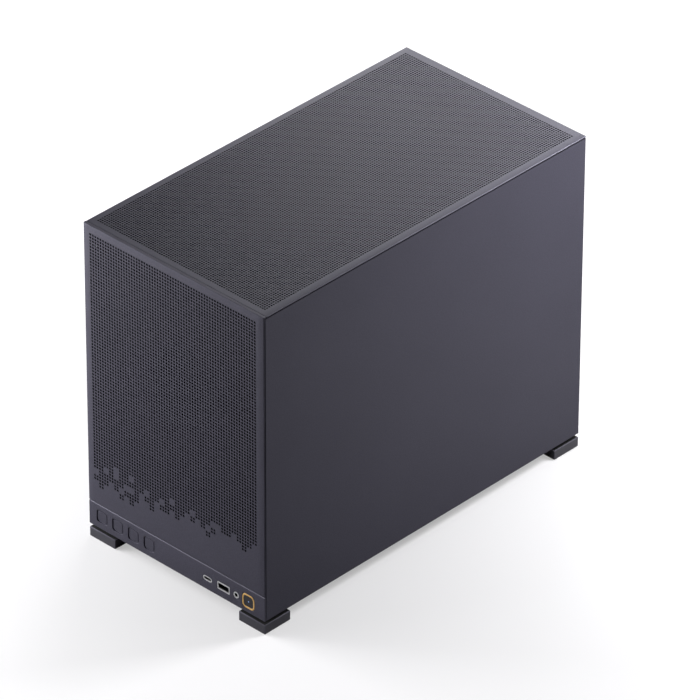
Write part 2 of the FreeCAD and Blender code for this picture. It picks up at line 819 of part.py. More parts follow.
def standoffs():
    posts = []
    for i, column in enumerate(BOARD_COLUMNS):
        for j, row in enumerate(BOARD_ROWS):
            drop = REAR_TOP_ROW if i == 0 and j == 0 else row
            place = ("board_back", f"board_rear - {column}", f"board_top - {drop}")
            hexagon = bar(f"hexagon_{i}{j}", "x", *place, "standoff_radius", "standoff_height", sides=6)
            bore = rod(f"bore_{i}{j}", "x", *place, "standoff_bore", "standoff_height")
            posts.append(cut(f"standoff_{i}{j}", hexagon, bore))
    group("standoffs", posts)


# Power supply bracket: an angle that hangs the supply's screw face from the front frame.
def psu_bracket():
    bracket = new_body("psu_bracket")
    angle = sketch_on(bracket, "sideways", "bulk_back", "psu_plate", "-psu_width / 2")
    reach = "psu_back - bulk_back"
    outline(angle, [("0", "0"), (reach, "0"), (reach, "sheet"), ("sheet", "sheet"),
                    ("sheet", "psu_flange"), ("0", "psu_flange")])
    pad(bracket, angle, "psu_width")
    window = sketch_on(bracket, "flat", "-psu_window_width / 2 - psu_window_shift",
                       "psu_front + psu_window_front", "psu_plate")
    rectangle(window, "psu_window_width", "psu_window_depth")
    pocket(bracket, window, "sheet")
    for rise, spacing in (("0", "psu_wide_pair"), ("psu_hole_rise", "psu_narrow_pair")):
        hole = sketch_on(bracket, "flat", "psu_hole_side - psu_width / 2",
                         f"psu_front + psu_hole_front + {rise}", "psu_plate")
        circle(hole, "psu_hole_radius")
        row_of(bracket, pocket(bracket, hole, "sheet"), "2", spacing)


# Drive bracket: a hat section on the back of the tray, with a flat drive's four screw holes.
def drive_bracket():
    bracket = new_body("drive_bracket")
    hat = sketch_on(bracket, "flat", "tray_face + sheet", "drive_start", "deck + drive_level")
    one, two = "drive_foot", "drive_foot + drive_length"
    rise = "drive_lift + sheet"
    outline(hat, [("0", "0"), ("sheet", "0"), ("sheet", f"{one} - sheet"), (rise, f"{one} - sheet"),
                  (rise, f"{two} + sheet"), ("sheet", f"{two} + sheet"), ("sheet", f"{two} + drive_foot"),
                  ("0", f"{two} + drive_foot"), ("0", two), ("drive_lift", two), ("drive_lift", one),
                  ("0", one)])
    pad(bracket, hat, "drive_height")
    holes = sketch_on(bracket, "sideways",
                      "drive_start + drive_foot + (drive_length - drive_hole_length) / 2",
                      "deck + drive_level + (drive_height - drive_hole_height) / 2",
                      "tray_face + sheet + drive_lift")
    circle(holes, "drive_hole_radius")
    row_of(bracket, pocket(bracket, holes, "sheet"), "2", "drive_hole_length",
           count_two="2", pitch_two="drive_hole_height")


# Mains inlet: a flanged socket body in the rear panel, its blades and its two screws.
def mains_inlet():
    inlet = new_body("ac_inlet")
    flange = sketch_on(inlet, "facing", "inlet_x - inlet_ear / 2",
                       "inlet_z - inlet_rise / 2 - inlet_flange_margin", "rear")
    rectangle(flange, "inlet_ear", "inlet_rise + inlet_flange_margin * 2")
    pad(inlet, flange, "inlet_flange", back=True)
    shell = sketch_on(inlet, "facing", "inlet_x - inlet_width / 2", "inlet_z - inlet_rise / 2", "rear")
    rectangle(shell, "inlet_width", "inlet_rise")
    pad(inlet, shell, "inlet_depth")
    well = sketch_on(inlet, "facing", "inlet_x - inlet_width / 2 + inlet_wall",
                     "inlet_z - inlet_rise / 2 + inlet_wall", "rear + inlet_flange")
    rectangle(well, "inlet_width - inlet_wall * 2", "inlet_rise - inlet_wall * 2")
    pocket(inlet, well, "inlet_depth + inlet_flange - inlet_floor")
    ear = square_hole(inlet, "facing", "inlet_x - inlet_screw_spacing / 2", "inlet_z", "rear",
                      "thumb_radius + hole_play", "inlet_flange", back=True)
    row_of(inlet, ear, "2", "inlet_screw_spacing")
    blades = []
    for k in (-1, 0, 1):
        rise = "pin_rise" if k == 0 else "-pin_rise"
        blades.append(block(f"blade_{k + 1}", f"inlet_x + {k} * pin_step - pin_width / 2",
                            "rear - inlet_depth + inlet_floor", f"inlet_z + {rise} - pin_height / 2",
                            "pin_width", "inlet_depth - inlet_floor - pin_rise", "pin_height"))
    group("inlet_pins", blades)
    screws = []
    for k in (-1, 1):
        place = (f"inlet_x + {k} * inlet_screw_spacing / 2", "rear + inlet_flange", "inlet_z")
        head = bar(f"inlet_head_{k + 1}", "y", *place, "inlet_head_radius", "inlet_head")
        shank = bar(f"inlet_shank_{k + 1}", "-y", *place, "thumb_radius", "inlet_flange + sheet * 3",
                    sides=8)
        screws.append(join(f"inlet_screw_{k + 1}", head, shank))
    group("inlet_screws", screws)


# Feet: a square block on a smaller neck, with a rubber pad let into its sole.
def feet():
    screws = []
    for end in ("front", "rear"):
        for side in ("left", "right"):
            name = f"{end}_{side}"
            left = "-side" if side == "left" else "side - foot_size"
            low = "front" if end == "front" else "back - foot_size"
            axis_x = "-foot_axis_x" if side == "left" else "foot_axis_x"
            axis_y = "-foot_axis_y" if end == "front" else "foot_axis_y"
            foot = new_body(f"foot_{name}")
            sole = sketch_on(foot, "flat", left, low, "pad_proud")
            rectangle(sole, "foot_size", "foot_size")
            block_pad = pad(foot, sole, "foot_top - pad_proud")
            names = straight_edges(block_pad, "z")
            corners = foot.newObject("PartDesign::Chamfer", "corners")
            corners.Base = (block_pad, names)
            bind(corners, "Size", "foot_chamfer")
            foot.Tip = corners
            neck = sketch_on(foot, "flat", f"{axis_x} - neck_size / 2", f"{axis_y} - neck_size / 2",
                             "foot_top")
            rectangle(neck, "neck_size", "neck_size")
            pad(foot, neck, "pan - foot_top")
            recess = "pad_size / 2 + hole_play"
            square_hole(foot, "flat", axis_x, axis_y, "pad_proud", recess, "pad_sink")
            square_hole(foot, "flat", axis_x, axis_y, "pad_top", "foot_head_radius + seat_gap",
                        "foot_head + seat_gap")
            square_hole(foot, "flat", axis_x, axis_y, "pad_top", "foot_screw_radius + hole_play",
                        "pan - pad_top")
            node(block(f"pad_{name}", f"{axis_x} - pad_size / 2", f"{axis_y} - pad_size / 2", "0",
                       "pad_size", "pad_size", "pad_top"), f"foot_pad_{name}")
            start = "pad_top + seat_gap"
            head = bar(f"foot_head_{name}", "z", axis_x, axis_y, start, "foot_head_radius", "foot_head")
            shank = bar(f"foot_shank_{name}", "z", axis_x, axis_y, start, "foot_screw_radius",
                        f"pan + foot_screw_tip - ({start})", sides=8)
            screws.append(join(f"foot_screw_{name}", head, shank))
    group("foot_screws", screws)


# Front strip: a face plate over a shell that is open behind, with four square dimples and the cut-outs.
def front_strip():
    strip = new_body("io_strip")
    face = sketch_on(strip, "facing", "-side", "base", "front")
    rectangle(face, "side * 2", "strip_height")
    plate = pad(strip, face, "face_thick", back=True)
    outer = straight_edges(plate, "z", lambda point: point.y < value("front") + NEAR)
    rounded(strip, plate, outer, "edge_round")
    shell = sketch_on(strip, "facing", "sheet - rail", "deck + seat_gap", "front + face_thick")
    rectangle(shell, "(rail - sheet) * 2", "strip_top - deck - seat_gap")
    pad(strip, shell, "front_gap - face_thick", back=True)
    hollow = sketch_on(strip, "facing", "sheet - rail + strip_wall", "deck", "bulk")
    rectangle(hollow, "(rail - sheet - strip_wall) * 2", "strip_top - strip_wall - deck")
    pocket(strip, hollow, "front_gap - face_thick - face_extra")
    dimple = sketch_on(strip, "facing", "dimple_first - side - dimple_size / 2",
                       "base + dimple_level - dimple_size / 2", "front")
    soft_square(dimple, "dimple_size", "dimple_size", "dimple_round")
    row_of(strip, pocket(strip, dimple, "dimple_depth", back=True), "4", "dimple_pitch")
    deep = "face_thick + face_extra"
    for x, width, height, corner in (
        ("usb_c_x", "usb_c_width + socket_gap * 2", "usb_c_height + socket_gap * 2", "usb_c_height / 2"),
        ("usb_a_x", "usb_a_width + socket_gap * 2", "usb_a_height + socket_gap * 2", "socket_wall"),
        ("button_x", "ring_size + socket_gap * 2", "ring_size + socket_gap * 2", "ring_round"),
    ):
        hole = sketch_on(strip, "facing", f"{x} - ({width}) / 2", f"level - ({height}) / 2", "front")
        soft_square(hole, width, height, corner)
        pocket(strip, hole, deep, back=True)
    hole = sketch_on(strip, "facing", "jack_x", "level", "front")
    circle(hole, "jack_radius + socket_gap")
    pocket(strip, hole, deep, back=True)


def soft_square(sketch, width, height, corner):
    """A rectangle with round corners, its lower left corner at the sketch's origin."""
    first = sketch.GeometryCount
    right, top, radius = value(width), value(height), value(corner)
    vector = FreeCAD.Vector
    spots = [(vector(radius, 0), vector(right - radius, 0)),
             (vector(right, radius), vector(right, top - radius)),
             (vector(right - radius, top), vector(radius, top)),
             (vector(0, top - radius), vector(0, radius))]
    middles = [vector(right - radius, radius), vector(right - radius, top - radius),
               vector(radius, top - radius), vector(radius, radius)]
    for start, end in spots:
        sketch.addGeometry(Part.LineSegment(start, end), False)
    for k, middle in enumerate(middles):
        ring = Part.Circle(middle, vector(0, 0, 1), radius)
        sketch.addGeometry(Part.ArcOfCircle(ring, (k - 1) * QUARTER, k * QUARTER), False)
    for k in range(4):
        line, arc, after = first + k, first + 4 + k, first + (k + 1) % 4
        sketch.addConstraint(Sketcher.Constraint("Tangent", line, 2, arc, 1))
        sketch.addConstraint(Sketcher.Constraint("Tangent", arc, 2, after, 1))
        sketch.addConstraint(Sketcher.Constraint("Horizontal" if k % 2 == 0 else "Vertical", line))
        if k:
            sketch.addConstraint(Sketcher.Constraint("Equal", first + 4, arc))
    rule = sketch.addConstraint(Sketcher.Constraint("Radius", first + 4, radius))
    bind(sketch, f"Constraints[{rule}]", corner)
    pin_point(sketch, first, 1, corner, "0")
    pin_point(sketch, first + 1, 2, width, f"{height} - ({corner})")


# Socket board with its sockets and the switch behind the button.
def socket_board():
    node(block("pcb", "pcb_left", "pcb_front", "pcb_low", "pcb_right - pcb_left", "pcb_depth", "pcb_thick"),
         "io_board")
    usb_a = new_body("usb_a_port")
    can = sketch_on(usb_a, "facing", "usb_a_x - usb_a_width / 2", "pcb_top", "socket_face")
    soft_square(can, "usb_a_width", "usb_a_height", "socket_wall")
    pad(usb_a, can, "usb_a_length", back=True)
    mouth = sketch_on(usb_a, "facing", "usb_a_x - usb_a_width / 2 + socket_wall", "pcb_top + usb_a_lip",
                      "socket_face")
    rectangle(mouth, "usb_a_width - socket_wall * 2", "usb_a_height - usb_a_lip * 2")
    pocket(usb_a, mouth, "usb_a_length - socket_floor", back=True)
    tongue = sketch_on(usb_a, "facing", "usb_a_x - usb_a_width / 2 + tongue_inset", "level",
                       "front + tongue_setback")
    rectangle(tongue, "usb_a_width - tongue_inset * 2", "usb_a_tongue")
    pad(usb_a, tongue, "usb_a_length - tongue_setback", back=True)
    usb_c = new_body("usb_c_port")
    can = sketch_on(usb_c, "facing", "usb_c_x - usb_c_width / 2", "level - usb_c_height / 2", "socket_face")
    soft_square(can, "usb_c_width", "usb_c_height", "usb_c_height / 2 - socket_sink")
    pad(usb_c, can, "usb_c_length", back=True)
    mouth = sketch_on(usb_c, "facing", "usb_c_x - usb_c_width / 2 + socket_wall",
                      "level - usb_c_height / 2 + socket_wall", "socket_face")
    soft_square(mouth, "usb_c_width - socket_wall * 2", "usb_c_height - socket_wall * 2",
                "usb_c_height / 2 - socket_wall - socket_sink")
    pocket(usb_c, mouth, "usb_c_length - socket_floor", back=True)
    tongue = sketch_on(usb_c, "facing", "usb_c_x - usb_c_width / 2 + tongue_inset",
                       "level - usb_c_tongue / 2", "front + tongue_setback")
    rectangle(tongue, "usb_c_width - tongue_inset * 2", "usb_c_tongue")
    pad(usb_c, tongue, "usb_c_length - tongue_setback", back=True)
    foot = sketch_on(usb_c, "flat", "usb_c_x - usb_c_foot / 2", "pcb_front", "pcb_top")
    rectangle(foot, "usb_c_foot", "usb_c_length + front - pcb_front")
    pad(usb_c, foot, "level - usb_c_height / 2 - pcb_top + socket_wall / 2")
    jack = new_body("audio_jack")
    shell = sketch_on(jack, "flat", "jack_x - jack_width / 2", "pcb_front", "pcb_top")
    rectangle(shell, "jack_width", "jack_length")
    pad(jack, shell, "(level - pcb_top) * 2")
    nose = sketch_on(jack, "facing", "jack_x", "level", "socket_face")
    circle(nose, "jack_radius")
    pad(jack, nose, "pcb_setback", back=True)
    bore = sketch_on(jack, "facing", "jack_x", "level", "socket_face")
    circle(bore, "jack_bore")
    pocket(jack, bore, "pcb_setback + jack_length - socket_floor", back=True)
    switch = new_body("power_switch")
    shell = sketch_on(switch, "flat", "button_x - switch_size / 2", "plunger_end - seat_gap", "pcb_top")
    rectangle(shell, "switch_size", "switch_size")
    pad(switch, shell, "switch_size")
    square_hole(switch, "facing", "button_x", "level", "plunger_end - seat_gap",
                "plunger_radius + hole_play", "button_travel + plunger_length", back=True)


# Power button: a bright ring in the strip, and in it a cap with a light, on a stem that meets the switch.
def power_button():
    ring = new_body("power_ring")
    edge = sketch_on(ring, "facing", "button_x - ring_size / 2", "level - ring_size / 2", "front")
    soft_square(edge, "ring_size", "ring_size", "ring_round")
    pad(ring, edge, "ring_depth", back=True)
    hole = sketch_on(ring, "facing", "button_x - ring_size / 2 + ring_wall",
                     "level - ring_size / 2 + ring_wall", "front")
    soft_square(hole, "ring_size - ring_wall * 2", "ring_size - ring_wall * 2", "ring_round - ring_wall")
    pocket(ring, hole, "ring_depth", back=True)
    cap = new_body("power_button")
    width = "ring_size - ring_wall * 2 - button_gap * 2"
    face = sketch_on(cap, "facing", f"button_x - ({width}) / 2", f"level - ({width}) / 2", "cap_face")
    soft_square(face, width, width, "ring_round - ring_wall - button_gap")
    pad(cap, face, "cap_back - cap_face", back=True)
    wide = "ring_size - ring_wall * 2 + button_rim * 2"
    flange = sketch_on(cap, "facing", f"button_x - ({wide}) / 2", f"level - ({wide}) / 2", "cap_flange")
    rectangle(flange, wide, wide)
    pad(cap, flange, "button_flange", back=True)
    stem = sketch_on(cap, "facing", "button_x - stem_size / 2", "level - stem_size / 2", "cap_back")
    rectangle(stem, "stem_size", "stem_size")
    pad(cap, stem, "plunger_end - cap_back - plunger_proud", back=True)
    bore = sketch_on(cap, "facing", "button_x", "level", "cap_face")
    circle(bore, "led_radius + led_play")
    pocket(cap, bore, "led_depth", back=True)
    node(bar("lens", "y", "button_x", "cap_face", "level", "led_radius", "led_depth"), "led_lens")
    node(bar("plunger", "y", "button_x", "plunger_end - plunger_proud", "level", "plunger_radius",
             "plunger_length"), "switch_plunger")


# Front and top covers: a punched sheet, with a rim of strips behind it, a dust mesh and four studs.
def front_cover():
    cover = new_body("front_panel")
    face = sketch_on(cover, "facing", "-side", "cover_low", "front")
    rectangle(face, "side * 2", "top - cover_low")
    plate = pad(cover, face, "skin", back=True)
    outer = straight_edges(plate, "z", lambda point: point.y < value("front") + NEAR)
    rounded(cover, plate, outer, "edge_round")
    last = len(FRONT_COLUMNS) - 1
    for k, count in enumerate(FRONT_COLUMNS):
        hole = sketch_on(cover, "facing", f"({k} - {last} / 2) * front_pitch - front_cell / 2",
                         f"top - front_first_row - {count - 1} * front_row_pitch - front_cell / 2", "front")
        rectangle(hole, "front_cell", "front_cell")
        row_of(cover, pocket(cover, hole, "skin", back=True), str(count), "front_row_pitch", axis="V_Axis")
    node(block("front_fold", "-side", "front + skin", "top_under", "side * 2", "return_depth - skin",
               "skin"), "front_return")
    rim("front_rim", ("-rail", "front + skin", "cover_low + rim_step"),
        ("rail * 2", "front_gap - skin - seat_gap", "roof - cover_low - rim_step"), across="z")
    node(block("front_mesh", "stud_radius * 2 - stud_x", "front + skin", "cover_low + rim_step * 2",
               "(stud_x - stud_radius * 2) * 2", "filter_sheet", "roof - cover_low - rim_step * 3"),
         "front_filter")
    studs = []
    catches = []
    for k, (x, z) in enumerate((x, z) for x in ("-stud_x", "stud_x")
                               for z in ("base + stud_low", "top - stud_high")):
        studs.append(bar(f"front_stud_{k}", "y", x, "front + skin", z, "stud_radius", "stud_length"))
        catches += catch(f"front_catch_{k}", "y", x, "bulk_back", z)
    group("front_studs", studs)
    group("front_catches", catches)


def rim(name, corner, size, across):
    """Four strips on edge that close a rectangle: two full ones, and two between them."""
    x, y, z = corner
    length, width, height = size
    if across == "z":
        far = (x, y, f"{z} + {height} - sheet")
        full, small = (length, width, "sheet"), ("sheet", width, f"{height} - sheet * 2")
        between = [(x, y, f"{z} + sheet"), (f"{x} + {length} - sheet", y, f"{z} + sheet")]
    else:
        far = (x, f"{y} + {width} - sheet", z)
        full, small = (length, "sheet", height), ("sheet", f"{width} - sheet * 2", height)
        between = [(x, f"{y} + sheet", z), (f"{x} + {length} - sheet", f"{y} + sheet", z)]
    strips = [block(f"{name}_full_{k}", *place, *full) for k, place in enumerate((corner, far))]
    strips += [block(f"{name}_between_{k}", *place, *small) for k, place in enumerate(between)]
    group(name, strips)


def catch(name, along, x, y, z):
    """Two spring leaves, one each side of a stud, seated on the inside of the frame."""
    leaves = []
    half, thick = "catch_size / 2", "catch_size / 2 - stud_radius - catch_play"
    for k, edge in enumerate(("-catch_size / 2", "stud_radius + catch_play")):
        if along == "y":
            place, size = (f"{x} - {half}", y, f"{z} + {edge}"), ("catch_size", "catch_depth", thick)
        elif along == "-z":
            place, size = (f"{x} + {edge}", f"{y} - {half}", z), (thick, "catch_size", "catch_depth")
        else:
            place, size = (x, f"{y} - {half}", f"{z} + {edge}"), ("catch_depth", "catch_size", thick)
        leaves.append(block(f"{name}_{k}", *place, *size))
    return leaves


def top_cover():
    cover = new_body("top_panel")
    face = sketch_on(cover, "flat", "-side", "top_start", "top_under")
    rectangle(face, "side * 2", "back - top_start")
    plate = pad(cover, face, "skin")
    outer = straight_edges(plate, "y", lambda point: point.z > value("top") - NEAR)
    rounded(cover, plate, outer, "edge_round")
    hole = sketch_on(cover, "flat", "-top_pitch * (top_columns - 1) / 2 - top_cell / 2",
                     "-top_row_pitch * (top_rows - 1) / 2 - top_cell / 2", "top_under")
    rectangle(hole, "top_cell", "top_cell")
    row_of(cover, pocket(cover, hole, "skin"), "top_columns", "top_pitch",
           count_two="top_rows", pitch_two="top_row_pitch")
    rim("top_rim", ("-rail", "bulk", "roof + seat_gap"),
        ("rail * 2", "back - sheet - bulk", "top_under - roof - seat_gap"), across="y")
    node(block("top_mesh", "stud_radius * 2 - stud_x", "bulk + sheet * 2", "top_under - filter_sheet",
               "(stud_x - stud_radius * 2) * 2", "back - bulk - sheet * 5", "filter_sheet"), "top_filter")
    studs = []
    catches = []
    for k, (x, y) in enumerate((x, y) for x in ("-stud_x", "stud_x")
                               for y in ("front + stud_corner", "back - stud_corner")):
        studs.append(bar(f"top_stud_{k}", "-z", x, y, "top_under", "stud_radius", "stud_length"))
        catches += catch(f"top_catch_{k}", "-z", x, y, "roof_under - catch_depth")
    group("top_studs", studs)
    group("top_catches", catches)


# Side covers: flat sheets folded in all round, so that their edges meet the frame's rails.
def side_cover(side):
    left = side == "left"
    cover = new_body(f"{side}_side_panel")
    start = "-fold" if left else "fold"
    plate = sketch_on(cover, "sideways", "side_front", "base", start)
    rectangle(plate, "back - side_front", "side_top - base")
    sheet_pad = pad(cover, plate, "side - fold", back=left)
    outer = value("side") - NEAR
    names = []
    for axis in ("y", "z"):
        names += straight_edges(sheet_pad, axis, lambda point: abs(point.x) > outer)
    rounded(cover, sheet_pad, names, "edge_round")
    hollow = sketch_on(cover, "sideways", "side_front + sheet", "base + sheet", start)
    rectangle(hollow, "back - side_front - sheet * 2", "side_top - base - sheet * 2")
    pocket(cover, hollow, "side - fold - sheet", back=left)
    studs = []
    catches = []
    for low in (True, False):
        for end in ("front", "back"):
            x, y, z = side_stud_place(side, end, low)
            name = f"{side}_{end}_{'low' if low else 'high'}"
            studs.append(bar(name + "_stud", "x" if left else "-x", x, y, z, "stud_radius", "stud_length"))
            inside = "sheet - rail" if left else "rail - sheet - catch_depth"
            catches += catch(name + "_catch", "x", inside, y, z)
    group(f"{side}_studs", studs)
    group(f"{side}_catches", catches)


# Dust filter under the floor: a frame with a mesh in it, sliding in two hooked rails.
def floor_filter():
    tray = new_body("bottom_filter")
    frame = sketch_on(tray, "flat", "-filter_side", "filter_front", "filter_low")
    rectangle(frame, "filter_width", "filter_length")
    inner_width = "filter_width - filter_border * 2"
    inner_length = "(filter_length - filter_border * 3) / 2"
    rectangle(frame, inner_width, inner_length, "filter_border", "filter_border")
    rectangle(frame, inner_width, inner_length, "filter_border", f"filter_border * 2 + {inner_length}")
    pad(tray, frame, "filter_thick")
    seat = sketch_on(tray, "flat", "filter_ledge - filter_side", "filter_front + filter_ledge", "filter_top")
    rectangle(seat, "filter_width - filter_ledge * 2", "filter_length - filter_ledge * 2")
    pocket(tray, seat, "mesh_sheet", back=True)
    inset = "filter_ledge + hole_play"
    node(block("floor_mesh", f"{inset} - filter_side", f"filter_front + {inset}", "filter_top - mesh_sheet",
               f"filter_width - ({inset}) * 2", f"filter_length - ({inset}) * 2", "mesh_sheet"),
         "bottom_filter_mesh")
    for side in ("left", "right"):
        rail = new_body(f"filter_rail_{side}")
        sign = -1 if side == "left" else 1
        gap = "filter_side + filter_play"
        low = "filter_low - rail_gap - rail_sheet"
        start = f"-({gap}) - sheet" if sign < 0 else f"{gap} - rail_lip"
        hook = sketch_on(rail, "facing", start, low, "filter_front")
        tall = f"pan - ({low})"
        if sign < 0:
            corners = [("0", "0"), ("sheet + rail_lip", "0"), ("sheet + rail_lip", "rail_sheet"),
                       ("sheet", "rail_sheet"), ("sheet", tall), ("0", tall)]
        else:
            corners = [("0", "0"), ("rail_lip + sheet", "0"), ("rail_lip + sheet", tall), ("rail_lip", tall),
                       ("rail_lip", "rail_sheet"), ("0", "rail_sheet")]
        outline(hook, corners)
        pad(rail, hook, "filter_length", back=True)


floor_pan()
rear_panel()
board_tray()
front_frame()
top_frame()
slot_covers()
slot_hood()
thumb_screws()
standoffs()
psu_bracket()
drive_bracket()
mains_inlet()
feet()
front_strip()
socket_board()
power_button()
front_cover()
top_cover()
side_cover("left")
side_cover("right")
floor_filter()
doc.recompute()

faults = []
for item in doc.Objects:
    if {"Invalid", "Error"} & set(item.State):
        faults.append(f"{item.Label}: {item.State}")
for name, item in nodes:
    if item.Shape.isNull() or not item.Shape.isValid() or not item.Shape.Solids:
        faults.append(f"{name}: no sound solid")
if faults:
    raise RuntimeError("; ".join(faults))

os.makedirs("parts", exist_ok=True)
for name, item in nodes:
    item.Shape.exportStep(f"parts/{name}.step")
print(len(nodes), "pieces written")
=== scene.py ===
import json
import math

import bmesh
import bpy
from mathutils import Matrix, Vector


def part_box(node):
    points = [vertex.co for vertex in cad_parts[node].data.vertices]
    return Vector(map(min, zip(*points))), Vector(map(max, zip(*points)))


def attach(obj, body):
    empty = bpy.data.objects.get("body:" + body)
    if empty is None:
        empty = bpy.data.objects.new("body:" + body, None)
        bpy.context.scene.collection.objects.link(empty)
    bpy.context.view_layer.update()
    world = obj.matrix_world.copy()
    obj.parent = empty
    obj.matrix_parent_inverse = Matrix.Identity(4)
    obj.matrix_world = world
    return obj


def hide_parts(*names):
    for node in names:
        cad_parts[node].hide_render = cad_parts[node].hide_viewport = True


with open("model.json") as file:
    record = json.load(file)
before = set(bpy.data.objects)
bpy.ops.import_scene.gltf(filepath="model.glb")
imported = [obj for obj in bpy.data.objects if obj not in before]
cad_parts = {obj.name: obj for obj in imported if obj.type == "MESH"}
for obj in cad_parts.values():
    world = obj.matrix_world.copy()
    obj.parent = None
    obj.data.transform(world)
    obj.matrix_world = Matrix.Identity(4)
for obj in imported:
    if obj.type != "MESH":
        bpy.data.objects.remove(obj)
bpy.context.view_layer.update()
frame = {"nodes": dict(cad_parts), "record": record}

# A small upright computer case. Lengths are metres; MM turns millimetres into them.
MM = 0.001
NEAR = 1e-6  # places nearer to each other than this are one place
NODES = frame["nodes"]
X, Y = 0, 1


# ---- Finishes -----------------------------------------------------------------------------------


class Amount:
    """A number that varies over a surface. Arithmetic with it adds Math nodes to its finish."""

    def __init__(self, finish, socket):
        self.finish = finish
        self.socket = socket

    def maths(self, operation, *terms):
        made = self.finish.add("ShaderNodeMath", {"operation": operation}, dict(enumerate(terms)))
        return Amount(self.finish, made.outputs[0])

    def __add__(self, other):
        return self.maths("ADD", self, other)

    def __sub__(self, other):
        return self.maths("SUBTRACT", self, other)

    def __mul__(self, other):
        return self.maths("MULTIPLY", self, other)

    def clipped(self):
        """The amount kept between 0 and 1."""
        return Amount(self.finish, self.finish.add("ShaderNodeClamp", {}, {0: self}).outputs[0])


def about(middle, amount, spread):
    """A value that follows an amount, evenly about a middle. A negative spread turns it round."""
    return amount * spread + (middle - spread / 2)


def as_colour(term):
    """A link as it is, and three numbers as an opaque colour."""
    return term if isinstance(term, bpy.types.NodeSocket) else (*term, 1.0)


class Finish:
    """One material, with its surface shader and the nodes that feed it."""

    def __init__(self, name, metallic=0.0, coat=0.0, specular=0.5):
        self.material = bpy.data.materials.new(name)
        self.material.use_nodes = True
        self.tree = self.material.node_tree
        self.surface = self.tree.nodes["Principled BSDF"]
        self.give("Metallic", metallic)
        self.give("Coat Weight", coat)
        self.give("Specular IOR Level", specular)
        self.place = self.add("ShaderNodeTexCoord", {}, {}).outputs["Object"]

    def fill(self, target, term):
        """Puts a number, a colour, an amount or a link into a socket."""
        term = getattr(term, "socket", term)
        if isinstance(term, bpy.types.NodeSocket):
            self.tree.links.new(term, target)
        else:
            target.default_value = term

    def give(self, name, term):
        """Fills one socket of the surface shader."""
        self.fill(self.surface.inputs[name], term)

    def add(self, kind, settings, sockets):
        """A node of any kind: its settings first, then what goes into each socket named."""
        made = self.tree.nodes.new(kind)
        for name, setting in settings.items():
            setattr(made, name, setting)
        for key, term in sockets.items():
            self.fill(made.inputs[key], term)
        return made

    def mapped(self, **changes):
        """The place on the piece, scaled or turned."""
        sockets = {"Vector": self.place}
        sockets.update({name.title(): change for name, change in changes.items()})
        return self.add("ShaderNodeMapping", {}, sockets).outputs["Vector"]

    def along(self, axis):
        """How far the place on the piece lies along one axis."""
        parts = self.add("ShaderNodeSeparateXYZ", {}, {"Vector": self.place})
        return Amount(self, parts.outputs[axis])

    def noise(self, scale, detail=2.0, stretch=(1.0, 1.0, 1.0)):
        made = self.add("ShaderNodeTexNoise", {}, {
            "Vector": self.mapped(scale=stretch), "Scale": scale, "Detail": detail})
        return Amount(self, made.outputs["Fac"])

    def bands(self, scale, turn):
        """Even bands across one axis, chosen by turning the place first."""
        made = self.add("ShaderNodeTexWave", {"wave_type": "BANDS", "bands_direction": "X"}, {
            "Vector": self.mapped(rotation=turn), "Scale": scale})
        return Amount(self, made.outputs["Fac"])

    def weave(self, scale):
        """Threads crossing both ways, brightest on the crossings."""
        quarter = math.pi / 2
        first = self.bands(scale, (0, 0, 0))
        second = self.bands(scale, (0, 0, quarter))
        third = self.bands(scale, (0, quarter, 0))
        return first * second + third * 0.25

    def blend(self, amount, low, high):
        """A colour between two, by an amount."""
        made = self.add("ShaderNodeMix", {"data_type": "RGBA"}, {
            0: amount, 6: as_colour(low), 7: as_colour(high)})
        return made.outputs[2]

    def raised(self, amount, height, strength):
        """The material with a bump of the given height added."""
        made = self.add("ShaderNodeBump", {}, {
            "Height": amount, "Distance": height, "Strength": strength})
        self.give("Normal", made.outputs["Normal"])
        return self.material


COAT_SPECULAR = 0.42
COAT_TINT = (0.80, 0.78, 1.0)
CLOUD_SCALE = 9.0
PEEL_SCALE = 1100.0
PEEL_HEIGHT = 0.05 * MM
SPECK_CONTRAST = 1.9
LIP_SHADE_BLACK = (0.002, 0.002, 0.0025)
LIP_DULLNESS = 0.5
LIP_FADE = 0.125 * MM


def powder_coat(name, dark, light, roughness, lip=None):
    """Powder coat: a fine orange peel with specks and a faint cloudiness. A folded lip that starts
    at the height given is painted black and dull: painted shade for the seam over it."""
    finish = Finish(name, specular=COAT_SPECULAR)
    finish.give("Specular Tint", as_colour(COAT_TINT))
    cloud = finish.noise(CLOUD_SCALE, detail=3.0)
    peel = finish.noise(PEEL_SCALE, detail=3.0)
    speck = (peel - 0.5) * SPECK_CONTRAST + 0.5
    paint = finish.blend((cloud * 0.3 + speck * 0.7).clipped(), dark, light)
    dullness = about(roughness, peel, 0.12)
    if lip is not None:
        # Painted shade: above the lip's height the paint turns black, for the shaded seam under the
        # top cover.
        above = ((finish.along("Z") - lip) * (1 / LIP_FADE)).clipped()
        paint = finish.blend(above, paint, LIP_SHADE_BLACK)
        dullness += above * LIP_DULLNESS
    finish.give("Base Color", paint)
    finish.give("Roughness", dullness)
    return finish.raised(peel, PEEL_HEIGHT, strength=0.22)


def moulding(name, dark, light, roughness):
    """Moulded plastic: a spark-eroded grain, a little shinier on its crests."""
    finish = Finish(name)
    texture = finish.noise(2200.0, detail=4.0)
    patch = finish.noise(14.0)
    finish.give("Base Color", finish.blend((texture * 0.5 + patch * 0.5).clipped(), dark, light))
    finish.give("Roughness", about(roughness, texture, -0.16))
    return finish.raised(texture, 0.06 * MM, strength=0.4)


def rubber(name):
    """Dull black rubber with a fine speck."""
    finish = Finish(name)
    speck = finish.noise(900.0, detail=5.0)
    finish.give("Base Color", finish.blend(speck, (0.012, 0.012, 0.013), (0.03, 0.03, 0.032)))
    finish.give("Roughness", about(0.85, speck, 0.2))
    return finish.raised(speck, 0.1 * MM, strength=0.4)


